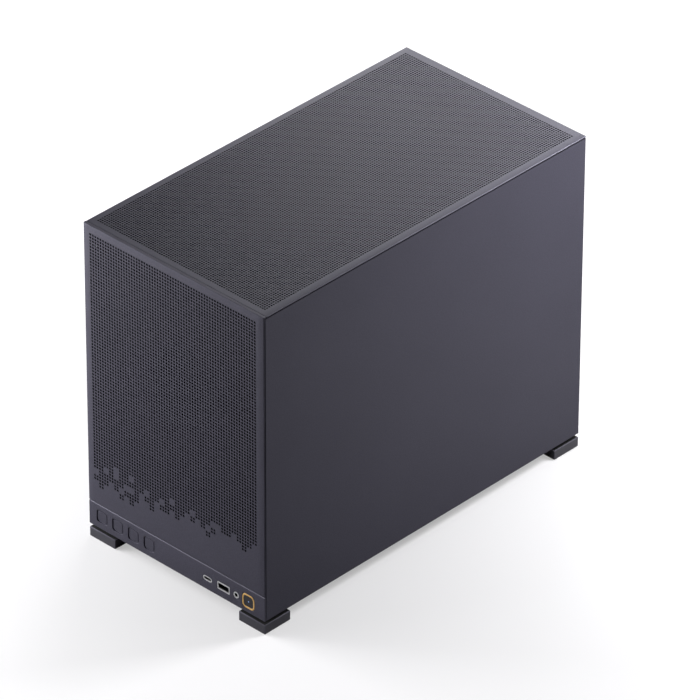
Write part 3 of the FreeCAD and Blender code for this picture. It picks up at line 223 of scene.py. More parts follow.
def plated(name, dark, light, roughness):
    """Plated metal with short scratches along one way."""
    finish = Finish(name, metallic=1.0)
    grain = finish.noise(60.0, detail=4.0, stretch=(40.0, 1.0, 40.0))
    finish.give("Base Color", finish.blend(grain, dark, light))
    finish.give("Roughness", about(roughness, grain, 0.16))
    return finish.raised(grain, 0.02 * MM, strength=0.3)


def dust_mesh(name):
    """Fine black dust mesh."""
    finish = Finish(name, specular=0.15)
    threads = finish.weave(220.0)
    finish.give("Base Color", finish.blend(
        threads.clipped(), (0.0015, 0.0015, 0.002), (0.010, 0.010, 0.011)))
    finish.give("Roughness", about(0.7, threads, -0.2))
    return finish.raised(threads, 0.12 * MM, strength=0.6)


def circuit_board(name):
    """Green board with faint tracks under a clear coat."""
    finish = Finish(name, coat=0.3)
    tracks = finish.noise(140.0, detail=2.0, stretch=(1.0, 6.0, 1.0))
    finish.give("Base Color", finish.blend(tracks, (0.006, 0.030, 0.018), (0.012, 0.060, 0.034)))
    finish.give("Roughness", about(0.38, tracks, 0.2))
    return finish.raised(tracks, 0.04 * MM, strength=0.3)


def anodised(name, dark, light):
    """A satin metal with its colour in the skin."""
    finish = Finish(name, metallic=0.3)
    sheen = finish.noise(700.0, detail=3.0)
    finish.give("Base Color", finish.blend(sheen, dark, light))
    finish.give("Roughness", about(0.33, sheen, 0.14))
    return finish.raised(sheen, 0.02 * MM, strength=0.3)


def socket_shell(name, rim, throat, front, reach):
    """A socket's shell: a bright rim, and from a place in Y inwards a throat painted dark, as
    painted shade.
    """
    finish = Finish(name, metallic=0.3)
    depth = (finish.along("Y") - front) * (1 / reach)
    grain = finish.noise(900.0, detail=3.0)
    finish.give("Base Color", finish.blend(depth.clipped(), rim, throat))
    finish.give("Roughness", about(0.33, grain, 0.14))
    return finish.raised(grain, 0.01 * MM, strength=0.3)


def lit_lens(name, colour):
    """A lens lit from behind, uneven in its brightness."""
    finish = Finish(name)
    bright = tuple(part * 1.5 for part in colour)
    shade = finish.blend(finish.noise(500.0), colour, bright)
    finish.give("Base Color", shade)
    finish.give("Emission Color", shade)
    finish.give("Emission Strength", 0.8)
    finish.give("Roughness", 0.2)
    return finish.material


COVER_PAINT = ((0.027, 0.026, 0.037), (0.066, 0.063, 0.087))
COVER_ROUGHNESS = 0.46
# The side covers' top lip is painted black from here up: painted shade in the seam under the top
# cover.
SIDE_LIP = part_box("right_side_panel")[1].z - 0.3 * MM
COVER = powder_coat("cover_paint", *COVER_PAINT, COVER_ROUGHNESS)
SIDE_COVER_LIP_SHADE = powder_coat("side_cover_paint_lip_shade", *COVER_PAINT, COVER_ROUGHNESS, lip=SIDE_LIP)
# A lighter, shinier paint for rounded edges: a painted highlight along them.
EDGE_HIGHLIGHT = powder_coat("cover_edge_highlight", (0.085, 0.082, 0.105), (0.130, 0.126, 0.156), 0.36)
FRAME_PAINT = powder_coat("frame_paint", (0.020, 0.020, 0.022), (0.030, 0.030, 0.033), 0.5)
FOOT = moulding("foot_plastic", (0.034, 0.033, 0.042), (0.060, 0.058, 0.074), 0.42)
BLACK = moulding("black_plastic", (0.010, 0.010, 0.011), (0.020, 0.020, 0.022), 0.45)
# Nearly black: painted shade for the feet's necks and block tops, in the gap under the case.
NECK_SHADE = moulding("foot_neck_shade", (0.0025, 0.0025, 0.003), (0.005, 0.005, 0.006), 0.9)
CAP = moulding("cap_black", (0.016, 0.016, 0.020), (0.028, 0.028, 0.034), 0.3)
MESH = dust_mesh("filter_mesh")
SOLE = rubber("foot_rubber")
STEEL = plated("bright_metal", (0.50, 0.50, 0.52), (0.72, 0.72, 0.74), 0.3)
BRASS = plated("standoff_brass", (0.55, 0.38, 0.14), (0.78, 0.58, 0.28), 0.3)
SCREW = plated("screw_black", (0.030, 0.030, 0.032), (0.060, 0.060, 0.064), 0.38)
BOARD = circuit_board("circuit_board")
RING = anodised("ring_orange", (0.74, 0.43, 0.13), (0.94, 0.62, 0.25))
LENS = lit_lens("lens", (0.16, 0.24, 0.42))
BY_SLOT = {
    "cover_paint": COVER, "frame_paint": FRAME_PAINT, "foot_plastic": FOOT,
    "black_plastic": BLACK, "cap_black": CAP, "filter_mesh": MESH, "foot_rubber": SOLE,
    "bright_metal": STEEL, "standoff_brass": BRASS, "screw_black": SCREW,
    "circuit_board": BOARD, "ring_orange": RING, "lens": LENS,
}

# A socket's bright rim, and the darker throat behind it, which is painted shade.
SOCKET_RIM = (0.62, 0.62, 0.64)
SOCKET_THROAT_SHADE = (0.010, 0.010, 0.012)
SOCKET_RIM_DEPTH = 0.2 * MM
SOCKET_FADE = 0.6 * MM


def paint_nodes():
    """Gives every solid the finish of its slot, then the side covers theirs, with painted shade on
    the top lip, and the sockets theirs, with painted shade in the throat.
    """
    for part in frame["record"]["subparts"]:
        node = NODES[part["node"]]
        node.data.materials.clear()
        node.data.materials.append(BY_SLOT[part["material_slot"]])
    for side in ("left_side_panel", "right_side_panel"):
        NODES[side].material_slots[0].material = SIDE_COVER_LIP_SHADE
    for name in ("usb_c_port", "usb_a_port", "audio_jack"):
        rim_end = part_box(name)[0].y + SOCKET_RIM_DEPTH
        shell = socket_shell(f"{name}_shell", SOCKET_RIM, SOCKET_THROAT_SHADE, rim_end, SOCKET_FADE)
        for slot in NODES[name].material_slots:
            if slot.material == STEEL:
                slot.material = shell


# ---- Modelling steps ----------------------------------------------------------------------------
SHARP_TURN = math.radians(40)


def clear_selection():
    bpy.ops.object.select_all(action="DESELECT")


def choose(*pieces):
    """Selects the pieces and makes the first one active."""
    clear_selection()
    for piece in pieces:
        piece.select_set(True)
    bpy.context.view_layer.objects.active = pieces[0]


def edit(piece):
    choose(piece)
    bpy.ops.object.mode_set(mode="EDIT")


def leave_edit():
    bpy.ops.object.mode_set(mode="OBJECT")


def bake(piece):
    """Puts a piece's place, turn and scale into its mesh."""
    choose(piece)
    bpy.ops.object.transform_apply(location=True, rotation=True, scale=True)


def stand_up(piece, place):
    """Turns a piece that lies face up so that it faces the front, and moves it to its place."""
    piece.rotation_euler = (math.pi / 2, 0, 0)
    piece.location = place
    bake(piece)


def join(pieces, name):
    choose(*pieces)
    bpy.ops.object.join()
    pieces[0].name = name
    return pieces[0]


def copy_of(source, name=None):
    piece = source.copy()
    piece.data = source.data.copy()
    if name:
        piece.name = name
    bpy.context.collection.objects.link(piece)
    return piece


def block(low, high):
    """A box between two corners."""
    low, high = Vector(low), Vector(high)
    clear_selection()
    bpy.ops.mesh.primitive_cube_add(size=1.0, location=(low + high) / 2, scale=high - low)
    piece = bpy.context.object
    bake(piece)
    return piece


def pick_edges(test):
    """In edit mode, selects the edges that pass a test."""
    mesh = bmesh.from_edit_mesh(bpy.context.edit_object.data)
    for vert in mesh.verts:
        vert.select = False
    mesh.select_flush(False)
    for edge in mesh.edges:
        edge.select = test(edge)
    mesh.select_flush(True)
    bmesh.update_edit_mesh(bpy.context.edit_object.data)


def pick_face(piece, test):
    """In edit mode, selects the one face that passes a test."""
    mesh = bmesh.from_edit_mesh(piece.data)
    for face in mesh.faces:
        face.select = test(face)
    mesh.select_flush(True)
    mesh.select_flush(False)
    bmesh.update_edit_mesh(piece.data)


def line_faces(piece, test, slot):
    """In edit mode, gives the faces that pass a test a finish by its slot."""
    mesh = bmesh.from_edit_mesh(piece.data)
    for face in mesh.faces:
        if test(face):
            face.material_index = slot
    bmesh.update_edit_mesh(piece.data)


def face_up(piece):
    """In edit mode, turns a flat piece so that its faces look up."""
    mesh = bmesh.from_edit_mesh(piece.data)
    mesh.faces.ensure_lookup_table()
    if mesh.faces[0].normal.z < 0:
        bpy.ops.mesh.flip_normals()


def extrude_edges(x, y, z):
    """In edit mode, extrudes the selected edges."""
    bpy.ops.mesh.extrude_edges_move(TRANSFORM_OT_translate={"value": (x, y, z)})


def extrude_region(rise):
    """In edit mode, extrudes the selected faces up or down."""
    bpy.ops.mesh.extrude_region_move(TRANSFORM_OT_translate={"value": (0, 0, rise)})


def fill_inside():
    """In edit mode, fills the flat area between the outlines."""
    bpy.ops.mesh.select_all(action="SELECT")
    bpy.ops.mesh.fill(use_beauty=True)
    bpy.ops.mesh.select_all(action="SELECT")


def recalculate_normals():
    bpy.ops.mesh.select_all(action="SELECT")
    bpy.ops.mesh.normals_make_consistent(inside=False)


def modify(piece, kind, **settings):
    """Adds a modifier to a piece and applies it."""
    choose(piece)
    bpy.ops.object.modifier_add(type=kind)
    made = piece.modifiers[-1]
    for name, setting in settings.items():
        setattr(made, name, setting)
    bpy.ops.object.modifier_apply(modifier=made.name)


def array(piece, count, offset):
    modify(piece, "ARRAY", count=count, use_relative_offset=False, use_constant_offset=True,
           constant_offset_displace=offset)


def thicken(piece, thickness):
    """Gives a face its thickness, inwards."""
    modify(piece, "SOLIDIFY", thickness=thickness, offset=-1.0, use_even_offset=True)


def soften(piece, radius, segments=2):
    """Rounds every edge of a piece that turns sharply."""
    modify(piece, "BEVEL", width=radius, segments=segments, limit_method="ANGLE",
           angle_limit=SHARP_TURN)


def round_edges(piece, test, radius, segments, edge_slot=0):
    """Rounds the edges that pass a test, and gives the rounds a finish by its slot."""
    mesh = bmesh.new()
    mesh.from_mesh(piece.data)
    weight = mesh.edges.layers.float.new("bevel_weight_edge")
    for edge in mesh.edges:
        edge[weight] = 1.0 if test(edge) else 0.0
    mesh.to_mesh(piece.data)
    mesh.free()
    modify(piece, "BEVEL", width=radius, segments=segments, limit_method="WEIGHT",
           material=edge_slot)


def weld(piece):
    edit(piece)
    bpy.ops.mesh.select_all(action="SELECT")
    bpy.ops.mesh.remove_doubles(threshold=2 * NEAR)
    leave_edit()


def smooth(piece, degrees=35):
    """Shades a piece smooth where its faces meet at less than the angle."""
    choose(piece)
    bpy.ops.object.shade_smooth_by_angle(angle=math.radians(degrees))


# ---- Punched sheets -----------------------------------------------------------------------------
# A cell with one hole, repeated both ways. A sheet is made lying flat and facing up, its face at
# height 0. Slot 0 is its paint. Slot 1 has the dust mesh's finish, for the back, which closes the
# holes as the mesh does, and for the holes' walls, where it is painted shade. Slot 2 is for a
# rounded edge, painted lighter as a painted highlight.
HOLE_SIDES = 8
MESH_AND_WALL_SHADE_SLOT = 1
HIGHLIGHT_SLOT = 2
SKIN = 1.0 * MM  # the sheet's thickness
EDGE_ROUND = 0.45 * MM
LEFT, RIGHT, BOTTOM, TOP = (X, 0), (X, 1), (Y, 0), (Y, 1)
SIDES = (LEFT, RIGHT, BOTTOM, TOP)


def punched_cell(pitch, radius):
    middle = (pitch / 2, pitch / 2, 0)
    clear_selection()
    bpy.ops.mesh.primitive_circle_add(vertices=HOLE_SIDES, radius=radius, location=middle,
                                      rotation=(0, 0, math.pi / HOLE_SIDES), enter_editmode=True)
    cell = bpy.context.object
    bpy.ops.mesh.primitive_plane_add(size=pitch, location=middle)
    bpy.ops.mesh.delete(type="ONLY_FACE")
    fill_inside()
    recalculate_normals()
    face_up(cell)
    limit = radius + NEAR
    pick_edges(lambda edge: all(end.co.xy.length < limit for end in edge.verts))
    extrude_edges(0, 0, -SKIN)
    # The holes' walls take the black dust mesh finish: painted shade inside the holes.
    line_faces(cell, lambda face: abs(face.normal.z) < 0.5, MESH_AND_WALL_SHADE_SLOT)
    leave_edit()
    bake(cell)
    cell.data.materials.append(COVER)
    cell.data.materials.append(MESH)
    return cell


def punched_field(pitch, radius, columns, rows, corner):
    """A field of holes whose lower left corner is at the given place."""
    field = punched_cell(pitch, radius)
    array(field, columns, (pitch, 0, 0))
    array(field, rows, (0, pitch, 0))
    field.location = (*corner, 0)
    bake(field)
    return field


def lies_at(edge, axis, place, level):
    """Whether both ends of an edge are at a place along an axis and at a height."""
    return all(abs(end.co[axis] - place) < NEAR and abs(end.co.z - level) < NEAR
               for end in edge.verts)


def is_open(edge):
    """Whether an edge has a face on one side only."""
    return len(edge.link_faces) == 1


def grow_edge(axis, place, reach):
    """In edit mode, extends a face from its open edge at a place to another along the axis."""
    step = [0.0, 0.0, 0.0]
    step[axis] = reach - place
    pick_edges(lambda edge: is_open(edge) and lies_at(edge, axis, place, 0.0))
    extrude_edges(*step)


def plate_round(field, inner, outer, rounded, edge_slot=0):
    """Adds the plain border round a field, the sheet's thickness, its lined back and the rounds
    of some sides. inner and outer are the low and high corners of the field and of the sheet."""
    edit(field)
    for axis, end in SIDES:
        if abs(inner[end][axis] - outer[end][axis]) > NEAR:
            grow_edge(axis, inner[end][axis], outer[end][axis])

    def on_sides(edge, sides, level):
        return any(lies_at(edge, axis, outer[end][axis], level) for axis, end in sides)

    pick_edges(lambda edge: is_open(edge) and on_sides(edge, SIDES, 0.0))
    extrude_edges(0, 0, -SKIN)
    pick_edges(lambda edge: on_sides(edge, SIDES, -SKIN))
    bpy.ops.mesh.edge_face_add()
    line_faces(field, lambda face: len(face.verts) > HOLE_SIDES, MESH_AND_WALL_SHADE_SLOT)
    leave_edit()
    round_edges(field, lambda edge: not is_open(edge) and on_sides(edge, rounded, 0.0),
                EDGE_ROUND, segments=3, edge_slot=edge_slot)


# Front cover: its holes break up towards the lower right, in blocks of two by two.
FRONT_PITCH = 3.0 * MM
FRONT_HOLE = 1.15 * MM  # a hole's radius
FRONT_LEFT = 6.45 * MM  # from the left edge to the field of holes
FRONT_DROP = 7.0 * MM  # from the top edge down to it
FRONT_SEAM = 0.4 * MM  # the gap above the strip
FRONT_COLUMNS = 64
FRONT_ROWS = 74
FRONT_RETURN = 3.0 * MM  # how far the fold over the top goes back
BLOCK_HOLES = 2
BLOCK_ROWS = (
    "11110110111111101110111001101110",
    "11010111110110111101010100000100",
    "01111100101101101000001000000000",
    "11101011100100000000000000000000",
    "01000101000000000000000000000000",
)


def plain_block(step):
    """A block without holes, cut into quarters so that its corners meet its neighbours' cells."""
    clear_selection()
    bpy.ops.mesh.primitive_plane_add(size=step, location=(step / 2, step / 2, 0),
                                     enter_editmode=True)
    plain = bpy.context.object
    bpy.ops.mesh.subdivide(number_cuts=BLOCK_HOLES - 1)
    leave_edit()
    bake(plain)
    plain.data.materials.append(COVER)
    plain.data.materials.append(MESH)
    return plain


def front_cover():
    low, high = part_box("front_panel")
    low.z += FRONT_SEAM
    width, tall = high.x - low.x, high.z - low.z
    field_top = tall - FRONT_DROP
    full_low = field_top - FRONT_ROWS * FRONT_PITCH
    step = BLOCK_HOLES * FRONT_PITCH
    pieces = [punched_field(FRONT_PITCH, FRONT_HOLE, FRONT_COLUMNS, FRONT_ROWS,
                            (FRONT_LEFT, full_low))]
    pattern = {"1": punched_field(FRONT_PITCH, FRONT_HOLE, BLOCK_HOLES, BLOCK_HOLES, (0, 0)),
               "0": plain_block(step)}
    for down, row in enumerate(BLOCK_ROWS, start=1):
        for across, mark in enumerate(row):
            piece = copy_of(pattern[mark])
            piece.location = (FRONT_LEFT + across * step, full_low - down * step, 0)
            pieces.append(piece)
    for spare in pattern.values():
        bpy.data.objects.remove(spare)
    sheet = join(pieces, "front_cover_sheet")
    bake(sheet)
    weld(sheet)
    field_low = full_low - len(BLOCK_ROWS) * step
    inner = ((FRONT_LEFT, field_low), (FRONT_LEFT + FRONT_COLUMNS * FRONT_PITCH, field_top))
    plate_round(sheet, inner, ((0.0, 0.0), (width, tall)), (LEFT, RIGHT, TOP))
    stand_up(sheet, low)
    fold = block((low.x, low.y + SKIN, high.z - SKIN), (high.x, low.y + FRONT_RETURN, high.z))
    fold.data.materials.append(COVER)
    sheet = join([sheet, fold], "front_cover_sheet")
    smooth(sheet)
    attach(sheet, "front_cover")
    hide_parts("front_panel", "front_return")


# Top cover: a finer even field, in two halves that meet along the middle.
TOP_PITCH = 2.55 * MM
TOP_HOLE = 0.95 * MM  # a hole's radius
TOP_LEFT = 5.9 * MM  # from the left edge to the field of holes
TOP_FRONT = 5.4 * MM  # from the front edge to it
TOP_COLUMNS = 76
TOP_ROWS = 145


def top_cover():
    low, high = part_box("top_panel")
    width, deep = high.x - low.x, high.y - low.y
    half = TOP_COLUMNS // 2
    middle = TOP_LEFT + half * TOP_PITCH
    field_end = TOP_FRONT + TOP_ROWS * TOP_PITCH
    halves = (("top_cover_left", TOP_LEFT, 0.0, middle, LEFT),
              ("top_cover_right", middle, middle, width, RIGHT))
    for name, field_left, start, end, rounded in halves:
        sheet = punched_field(TOP_PITCH, TOP_HOLE, half, TOP_ROWS, (field_left, TOP_FRONT))
        weld(sheet)
        sheet.name = name
        # The rounded outer edge takes the lighter edge paint: a painted highlight.
        sheet.data.materials.append(EDGE_HIGHLIGHT)
        inner = ((field_left, TOP_FRONT), (field_left + half * TOP_PITCH, field_end))
        plate_round(sheet, inner, ((start, 0.0), (end, deep)), (rounded,), HIGHLIGHT_SLOT)
        sheet.location = (low.x, low.y, high.z)
        bake(sheet)
        smooth(sheet)
        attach(sheet, "top_cover")
        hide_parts("top_panel")


# ---- Front strip --------------------------------------------------------------------------------
# A face plate with four dimples and the cut-outs for the sockets and the button, before a shell.
STRIP_SHEET = 1.5 * MM
STRIP_ROUND = 0.35 * MM
STRIP_TOP_ROUND = 0.65 * MM
# Slot of the lighter paint on the strip's top round: a painted highlight.
STRIP_HIGHLIGHT_SLOT = 1
DIMPLES = 4
DIMPLE_SIZE = 12.5 * MM
DIMPLE_CORNER = 3.0 * MM
DIMPLE_DEPTH = 1.2 * MM
DIMPLE_GROOVE = 0.85 * MM  # the groove's width
DIMPLE_ISLAND = 0.75 * MM  # the island's height above the groove
DIMPLE_LEVEL = 12.1 * MM  # the middle's height above the strip's lower edge
DIMPLE_FIRST = 15.2 * MM  # from the strip's left edge to the first middle
DIMPLE_PITCH = 18.7 * MM
SOCKET_LEVEL = 10.9 * MM
SOCKET_GAP = 0.2 * MM
SHELL_SHEET = 2.0 * MM
SHELL_INSET = 8.5 * MM  # from the strip's ends to the shell's
SHELL_RISE = 2.8 * MM  # from the strip's lower edge to the shell's
SHELL_ROUND = 0.2 * MM
# Millimetres: the node in each cut-out, the stretch of the strip round it, from and to, the size
# of what stands in it, and the rounding of its corners.
CUT_OUTS = (
    ("usb_c_port", 130.0, 149.5, (10.1, 4.5), 2.2),
    ("usb_a_port", 149.5, 167.5, (14.2, 7.6), 0.9),
    ("audio_jack", 167.5, 179.2, (6.1, 6.1), 3.2),
    ("power_ring", 179.2, 196.4, (14.1, 14.1), 4.0),
)


def pierced_cell(left, right, tall, centre, size, corner):
    """A stretch of a flat face with one opening in it, its corners rounded. It stays in edit mode
    with the opening's edges selected."""
    clear_selection()
    bpy.ops.mesh.primitive_plane_add(size=1.0, location=(0, 0, 0), enter_editmode=True)
    cell = bpy.context.object
    bpy.ops.transform.resize(value=(*size, 1.0), center_override=(0, 0, 0))
    bpy.ops.mesh.bevel(offset=corner, segments=6, affect="VERTICES")
    bpy.ops.transform.translate(value=(*centre, 0))
    bpy.ops.mesh.select_all(action="DESELECT")
    middle = ((left + right) / 2, tall / 2, 0)
    bpy.ops.mesh.primitive_plane_add(size=1.0, location=middle)
    bpy.ops.transform.resize(value=(right - left, tall, 1.0), center_override=middle)
    bpy.ops.mesh.select_all(action="SELECT")
    bpy.ops.mesh.delete(type="ONLY_FACE")
    fill_inside()
    face_up(cell)
    reach = tuple(length / 2 + NEAR for length in size)
    pick_edges(lambda edge: all(abs(end.co[axis] - centre[axis]) < reach[axis]
                                for end in edge.verts for axis in (X, Y)))
    return cell


def dimples(left, right, tall):
    """The row of dimples, each a groove round a low island."""
    row = pierced_cell(left, right, tall, (DIMPLE_FIRST, DIMPLE_LEVEL),
                       (DIMPLE_SIZE, DIMPLE_SIZE), DIMPLE_CORNER)
    extrude_edges(0, 0, -DIMPLE_DEPTH)
    bpy.ops.mesh.edge_face_add()
    bpy.ops.mesh.inset(thickness=DIMPLE_GROOVE, depth=0)
    extrude_region(DIMPLE_ISLAND)
    leave_edit()
    array(row, DIMPLES, (DIMPLE_PITCH, 0, 0))
    return row


def cut_out(strip_left, tall, node, start, end, size, corner):
    """The stretch of the strip with one node's cut-out."""
    low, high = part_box(node)
    centre = ((low.x + high.x) / 2 - strip_left, SOCKET_LEVEL)
    opening = tuple(length * MM + SOCKET_GAP * 2 for length in size)
    cell = pierced_cell(start * MM, end * MM, tall, centre, opening, corner * MM)
    leave_edit()
    return cell


def strip_shell(low, high):
    """The shell behind the face: its roof and its two ends."""
    inner = high.x - SHELL_INSET
    shell = block((-inner, low.y + STRIP_SHEET, low.z + SHELL_RISE), (inner, high.y, high.z))
    edit(shell)
    mesh = bmesh.from_edit_mesh(shell.data)
    for face in mesh.faces:
        face.select = abs(face.normal.y) > 0.9 or face.normal.z < -0.9
    bmesh.update_edit_mesh(shell.data)
    bpy.ops.mesh.delete(type="FACE")
    leave_edit()
    thicken(shell, SHELL_SHEET)
    soften(shell, SHELL_ROUND, segments=1)
    shell.data.materials.append(COVER)
    return shell


def front_strip():
    low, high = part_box("io_strip")
    width, tall = high.x - low.x, high.z - low.z
    row_start = DIMPLE_FIRST - DIMPLE_PITCH / 2
    row_step = DIMPLE_FIRST + DIMPLE_PITCH / 2
    row_end = row_step + (DIMPLES - 1) * DIMPLE_PITCH
    cells = [dimples(row_start, row_step, tall)]
    cells.extend(cut_out(low.x, tall, *facts) for facts in CUT_OUTS)
    strip = join(cells, "front_strip")
    strip.data.materials.append(COVER)
    strip.data.materials.append(EDGE_HIGHLIGHT)
    edit(strip)
    grow_edge(X, row_start, 0.0)
    grow_edge(X, row_end, CUT_OUTS[0][1] * MM)
    grow_edge(X, CUT_OUTS[-1][2] * MM, width)
    leave_edit()
    weld(strip)
    thicken(strip, STRIP_SHEET)
    # The top edge's round takes the lighter edge paint: a painted highlight.
    round_edges(strip, lambda edge: lies_at(edge, Y, tall, 0.0), STRIP_TOP_ROUND, segments=3,
                edge_slot=STRIP_HIGHLIGHT_SLOT)
    soften(strip, STRIP_ROUND)
    stand_up(strip, low)
    strip = join([strip, strip_shell(low, high)], "front_strip")
    smooth(strip, 20)
    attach(strip, "case")
    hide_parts("io_strip")


# Bright ring round the power button, with soft edges.
RING_WALL = 1.5 * MM
RING_CORNER = 4.4 * MM
RING_ROUND = 0.3 * MM


def power_ring():
    low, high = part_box("power_ring")
    clear_selection()
    bpy.ops.mesh.primitive_plane_add(size=high.x - low.x, location=(0, 0, 0), enter_editmode=True)
    ring = bpy.context.object
    bpy.ops.mesh.bevel(offset=RING_CORNER, segments=8, affect="VERTICES")
    bpy.ops.mesh.inset(thickness=RING_WALL, depth=0)
    bpy.ops.mesh.delete(type="FACE")
    leave_edit()
    ring.name = "button_ring"
    thicken(ring, high.y - low.y)
    soften(ring, RING_ROUND)
    stand_up(ring, ((low.x + high.x) / 2, low.y, (low.z + high.z) / 2))
    ring.data.materials.append(RING)
    smooth(ring)
    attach(ring, "case")
    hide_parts("power_ring")


# ---- Feet ---------------------------------------------------------------------------------------
# A block with a neck set towards the inside, and below it a hollow for the pad, with a deeper well
# for the screw's head.
FOOT_SIZE = 30.5 * MM
FOOT_ROUND = 0.7 * MM
NECK_SIZE = 21.0 * MM
NECK_SHIFT = (-3.25 * MM, -1.5 * MM)
PAD_SIZE = 23.4 * MM
WELL_SIZE = 8.6 * MM
SOLE_LEVEL = 0.8 * MM  # heights above the floor: the block's underside,
PAD_LEVEL = 2.0 * MM  # the hollow's roof,
WELL_LEVEL = 4.8 * MM  # the well's roof
BLOCK_LEVEL = 9.8 * MM  # and the block's top
NECK_SHADE_SLOT = 1


def stepped(thickness, shift, rise):
    """In edit mode, insets the picked face, shifts it and extrudes it up or down."""
    bpy.ops.mesh.inset(thickness=thickness, depth=0)
    bpy.ops.transform.translate(value=(*shift, 0))
    extrude_region(rise)


def one_foot():
    """The foot at the rear right, standing on the origin."""
    neck_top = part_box("foot_rear_right")[1].z
    half = FOOT_SIZE / 2
    foot = block((-half, -half, SOLE_LEVEL), (half, half, BLOCK_LEVEL))
    for finish in (FOOT, NECK_SHADE, EDGE_HIGHLIGHT):
        foot.data.materials.append(finish)
    middle = (SOLE_LEVEL + BLOCK_LEVEL) / 2
    # The rounds of the top edges take the lighter edge paint: a painted highlight.
    round_edges(foot, lambda edge: max(end.co.z for end in edge.verts) > middle,
                FOOT_ROUND, segments=2, edge_slot=HIGHLIGHT_SLOT)
    edit(foot)
    pick_face(foot, lambda face: face.normal.z > 0.99)
    stepped((FOOT_SIZE - NECK_SIZE) / 2 - FOOT_ROUND, NECK_SHIFT, neck_top - BLOCK_LEVEL)
    pick_face(foot, lambda face: face.normal.z < -0.99)
    stepped((FOOT_SIZE - PAD_SIZE) / 2, NECK_SHIFT, PAD_LEVEL - SOLE_LEVEL)
    stepped((PAD_SIZE - WELL_SIZE) / 2, (0, 0), WELL_LEVEL - PAD_LEVEL)
    # The neck and the block's top are painted nearly black: painted shade in the gap under the
    # case.
    neck_low = BLOCK_LEVEL - 0.1 * MM
    line_faces(foot, lambda face: min(end.co.z for end in face.verts) > neck_low, NECK_SHADE_SLOT)
    leave_edit()
    return foot


def feet():
    pattern = one_foot()
    for end, way_y in (("front", -1), ("rear", 1)):
        for side, way_x in (("left", -1), ("right", 1)):
            low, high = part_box(f"foot_{end}_{side}")
            foot = copy_of(pattern, f"foot_block_{end}_{side}")
            foot.scale = (way_x, way_y, 1)
            foot.location = ((low.x + high.x) / 2, (low.y + high.y) / 2, 0)
            bake(foot)
            edit(foot)
            recalculate_normals()
            leave_edit()
            smooth(foot, 20)
            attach(foot, "case")
            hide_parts(f"foot_{end}_{side}")
    bpy.data.objects.remove(pattern)


# ---- Floor, lamps and camera --------------------------------------------------------------------
# The floor glows for the camera alone, so that it is white apart from the shadow. Near the case
# the glow is weaker, which darkens the floor round it: painted shade, added to the shadow that the
# lamps cast. Mirrored, it is plain paper; all other light meets a darker table and little comes
# back.
FLOOR_SIZE = 40.0
PAPER = (0.50, 0.495, 0.51)
NEAR_GLOW = 0.33
FAR_GLOW = 1.0
GLOW_REACH = 1.3
TABLE = (0.12, 0.12, 0.125)


def floor():
    clear_selection()
    bpy.ops.mesh.primitive_plane_add(size=FLOOR_SIZE, location=(0, 0, 0))
    ground = bpy.context.object
    ground.name = "floor"
    material = bpy.data.materials.new("floor_paper")
    material.use_nodes = True
    tree = material.node_tree
    tree.nodes.clear()

    def shade(kind, *sources):
        made = tree.nodes.new(kind)
        for source, target in zip(sources, made.inputs):
            tree.links.new(source, target)
        return made

    paper = shade("ShaderNodeBsdfDiffuse")
    paper.inputs["Color"].default_value = as_colour(PAPER)
    table = shade("ShaderNodeBsdfDiffuse")
    table.inputs["Color"].default_value = as_colour(TABLE)
    place = shade("ShaderNodeTexCoord")
    fall = shade("ShaderNodeMapping", place.outputs["Object"])
    fall.inputs["Scale"].default_value = (1 / GLOW_REACH, 1 / GLOW_REACH, 1)
    nearness = shade("ShaderNodeTexGradient", fall.outputs["Vector"])
    nearness.gradient_type = "SPHERICAL"
    # Weaker glow near the case: painted shade on the floor round it.
    strength = shade("ShaderNodeMath", nearness.outputs["Fac"])
    strength.operation = "MULTIPLY_ADD"
    strength.inputs[1].default_value = NEAR_GLOW - FAR_GLOW
    strength.inputs[2].default_value = FAR_GLOW
    glow = shade("ShaderNodeEmission")
    tree.links.new(strength.outputs[0], glow.inputs["Strength"])
    ray = shade("ShaderNodeLightPath")
    seen = shade("ShaderNodeAddShader", paper.outputs[0], glow.outputs[0])
    mirrored = shade("ShaderNodeMixShader",
                     ray.outputs["Is Glossy Ray"], table.outputs[0], paper.outputs[0])
    shown = shade("ShaderNodeMixShader",
                  ray.outputs["Is Camera Ray"], mirrored.outputs[0], seen.outputs[0])
    shade("ShaderNodeOutputMaterial", shown.outputs[0])
    ground.data.materials.append(material)


# Square lamps: name, place, what it points at, size and power in watts.
LAMPS = (
    ("right_near", (0.34, 0.40, 0.50), (0.1, 0.16, 0.30), 0.25, 5.0),
    ("right_close", (0.85, 0.45, 0.55), (0.1, 0.1, 0.2), 0.35, 1.2),
    ("front_left", (-0.60, -0.85, 0.50), (-0.05, -0.1, 0.2), 0.6, 4.0),
    ("left_low", (-0.80, -0.50, 0.35), (-0.1, -0.1, 0.2), 0.6, 14.0),
    ("back_left", (-0.70, 0.90, 0.75), (0, 0.05, 0.3), 0.5, 5.2),
    ("back_top", (-0.1, 0.62, 0.60), (0, 0.15, 0.3), 0.35, 0.9),
)
ROOM = (0.015, 0.015, 0.0155)
WHITE = (1.0, 1.0, 1.0)


def lights():
    for name, place, aim, size, power in LAMPS:
        data = bpy.data.lights.new(name, "AREA")
        data.size = size
        data.energy = power
        lamp = bpy.data.objects.new(name, data)
        lamp.location = place
        lamp.rotation_euler = (Vector(aim) - Vector(place)).to_track_quat("-Z", "Y").to_euler()
        bpy.context.collection.objects.link(lamp)


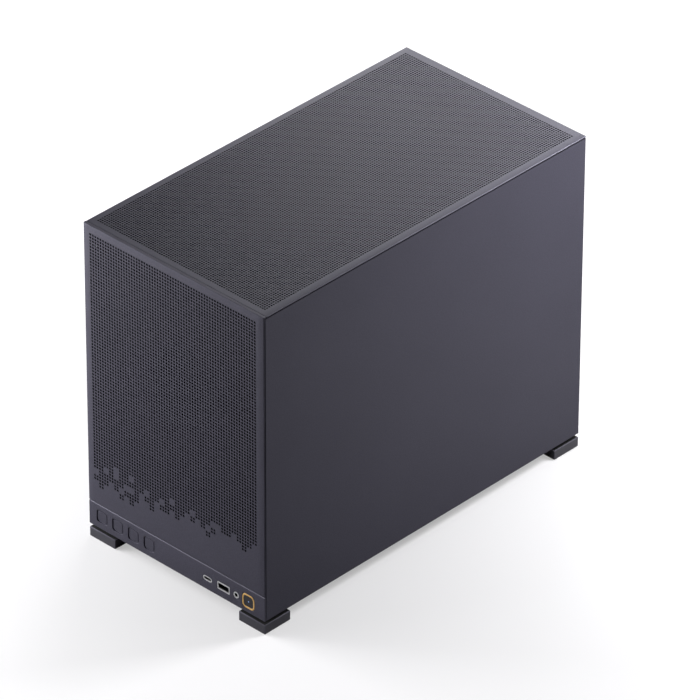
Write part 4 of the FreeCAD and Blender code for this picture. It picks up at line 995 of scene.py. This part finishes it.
def surroundings():
    """A white background to the eye, and a dim room for everything else."""
    world = bpy.data.worlds.new("room")
    bpy.context.scene.world = world
    world.use_nodes = True
    tree = world.node_tree
    tree.nodes.clear()
    room = tree.nodes.new("ShaderNodeBackground")
    room.inputs["Color"].default_value = as_colour(ROOM)
    white = tree.nodes.new("ShaderNodeBackground")
    white.inputs["Color"].default_value = as_colour(WHITE)
    ray = tree.nodes.new("ShaderNodeLightPath")
    pick = tree.nodes.new("ShaderNodeMixShader")
    out = tree.nodes.new("ShaderNodeOutputWorld")
    tree.links.new(ray.outputs["Is Camera Ray"], pick.inputs[0])
    tree.links.new(room.outputs[0], pick.inputs[1])
    tree.links.new(white.outputs[0], pick.inputs[2])
    tree.links.new(pick.outputs[0], out.inputs["Surface"])


# The photograph's camera: a long lens, high on the right in front.
CAMERA_PLACE = Vector((3.4480, -3.5972, 3.4574))
CAMERA_YAW = math.radians(-43.6575)
CAMERA_PITCH = math.radians(-33.6228)
CAMERA_ROLL = math.radians(0.2145)
CAMERA_LENS = 365.4
CAMERA_SENSOR = 36.0


def camera():
    data = bpy.data.cameras.new("camera")
    data.lens = CAMERA_LENS
    data.sensor_width = CAMERA_SENSOR
    item = bpy.data.objects.new("camera", data)
    level = math.cos(CAMERA_PITCH)
    ahead = Vector((math.sin(CAMERA_YAW) * level, math.cos(CAMERA_YAW) * level,
                    math.sin(CAMERA_PITCH)))
    right = Vector((math.cos(CAMERA_YAW), -math.sin(CAMERA_YAW), 0))
    above = right.cross(ahead)
    rolled_right = math.cos(CAMERA_ROLL) * right + math.sin(CAMERA_ROLL) * above
    rolled_above = math.cos(CAMERA_ROLL) * above - math.sin(CAMERA_ROLL) * right
    axes = Matrix((rolled_right, rolled_above, -ahead)).transposed()
    item.matrix_world = Matrix.Translation(CAMERA_PLACE) @ axes.to_4x4()
    bpy.context.collection.objects.link(item)
    bpy.context.scene.camera = item


camera()
paint_nodes()
front_cover()
top_cover()
front_strip()
power_ring()
feet()
floor()
lights()
surroundings()
bpy.context.scene.view_settings.view_transform = "Standard"
bpy.context.view_layer.update()
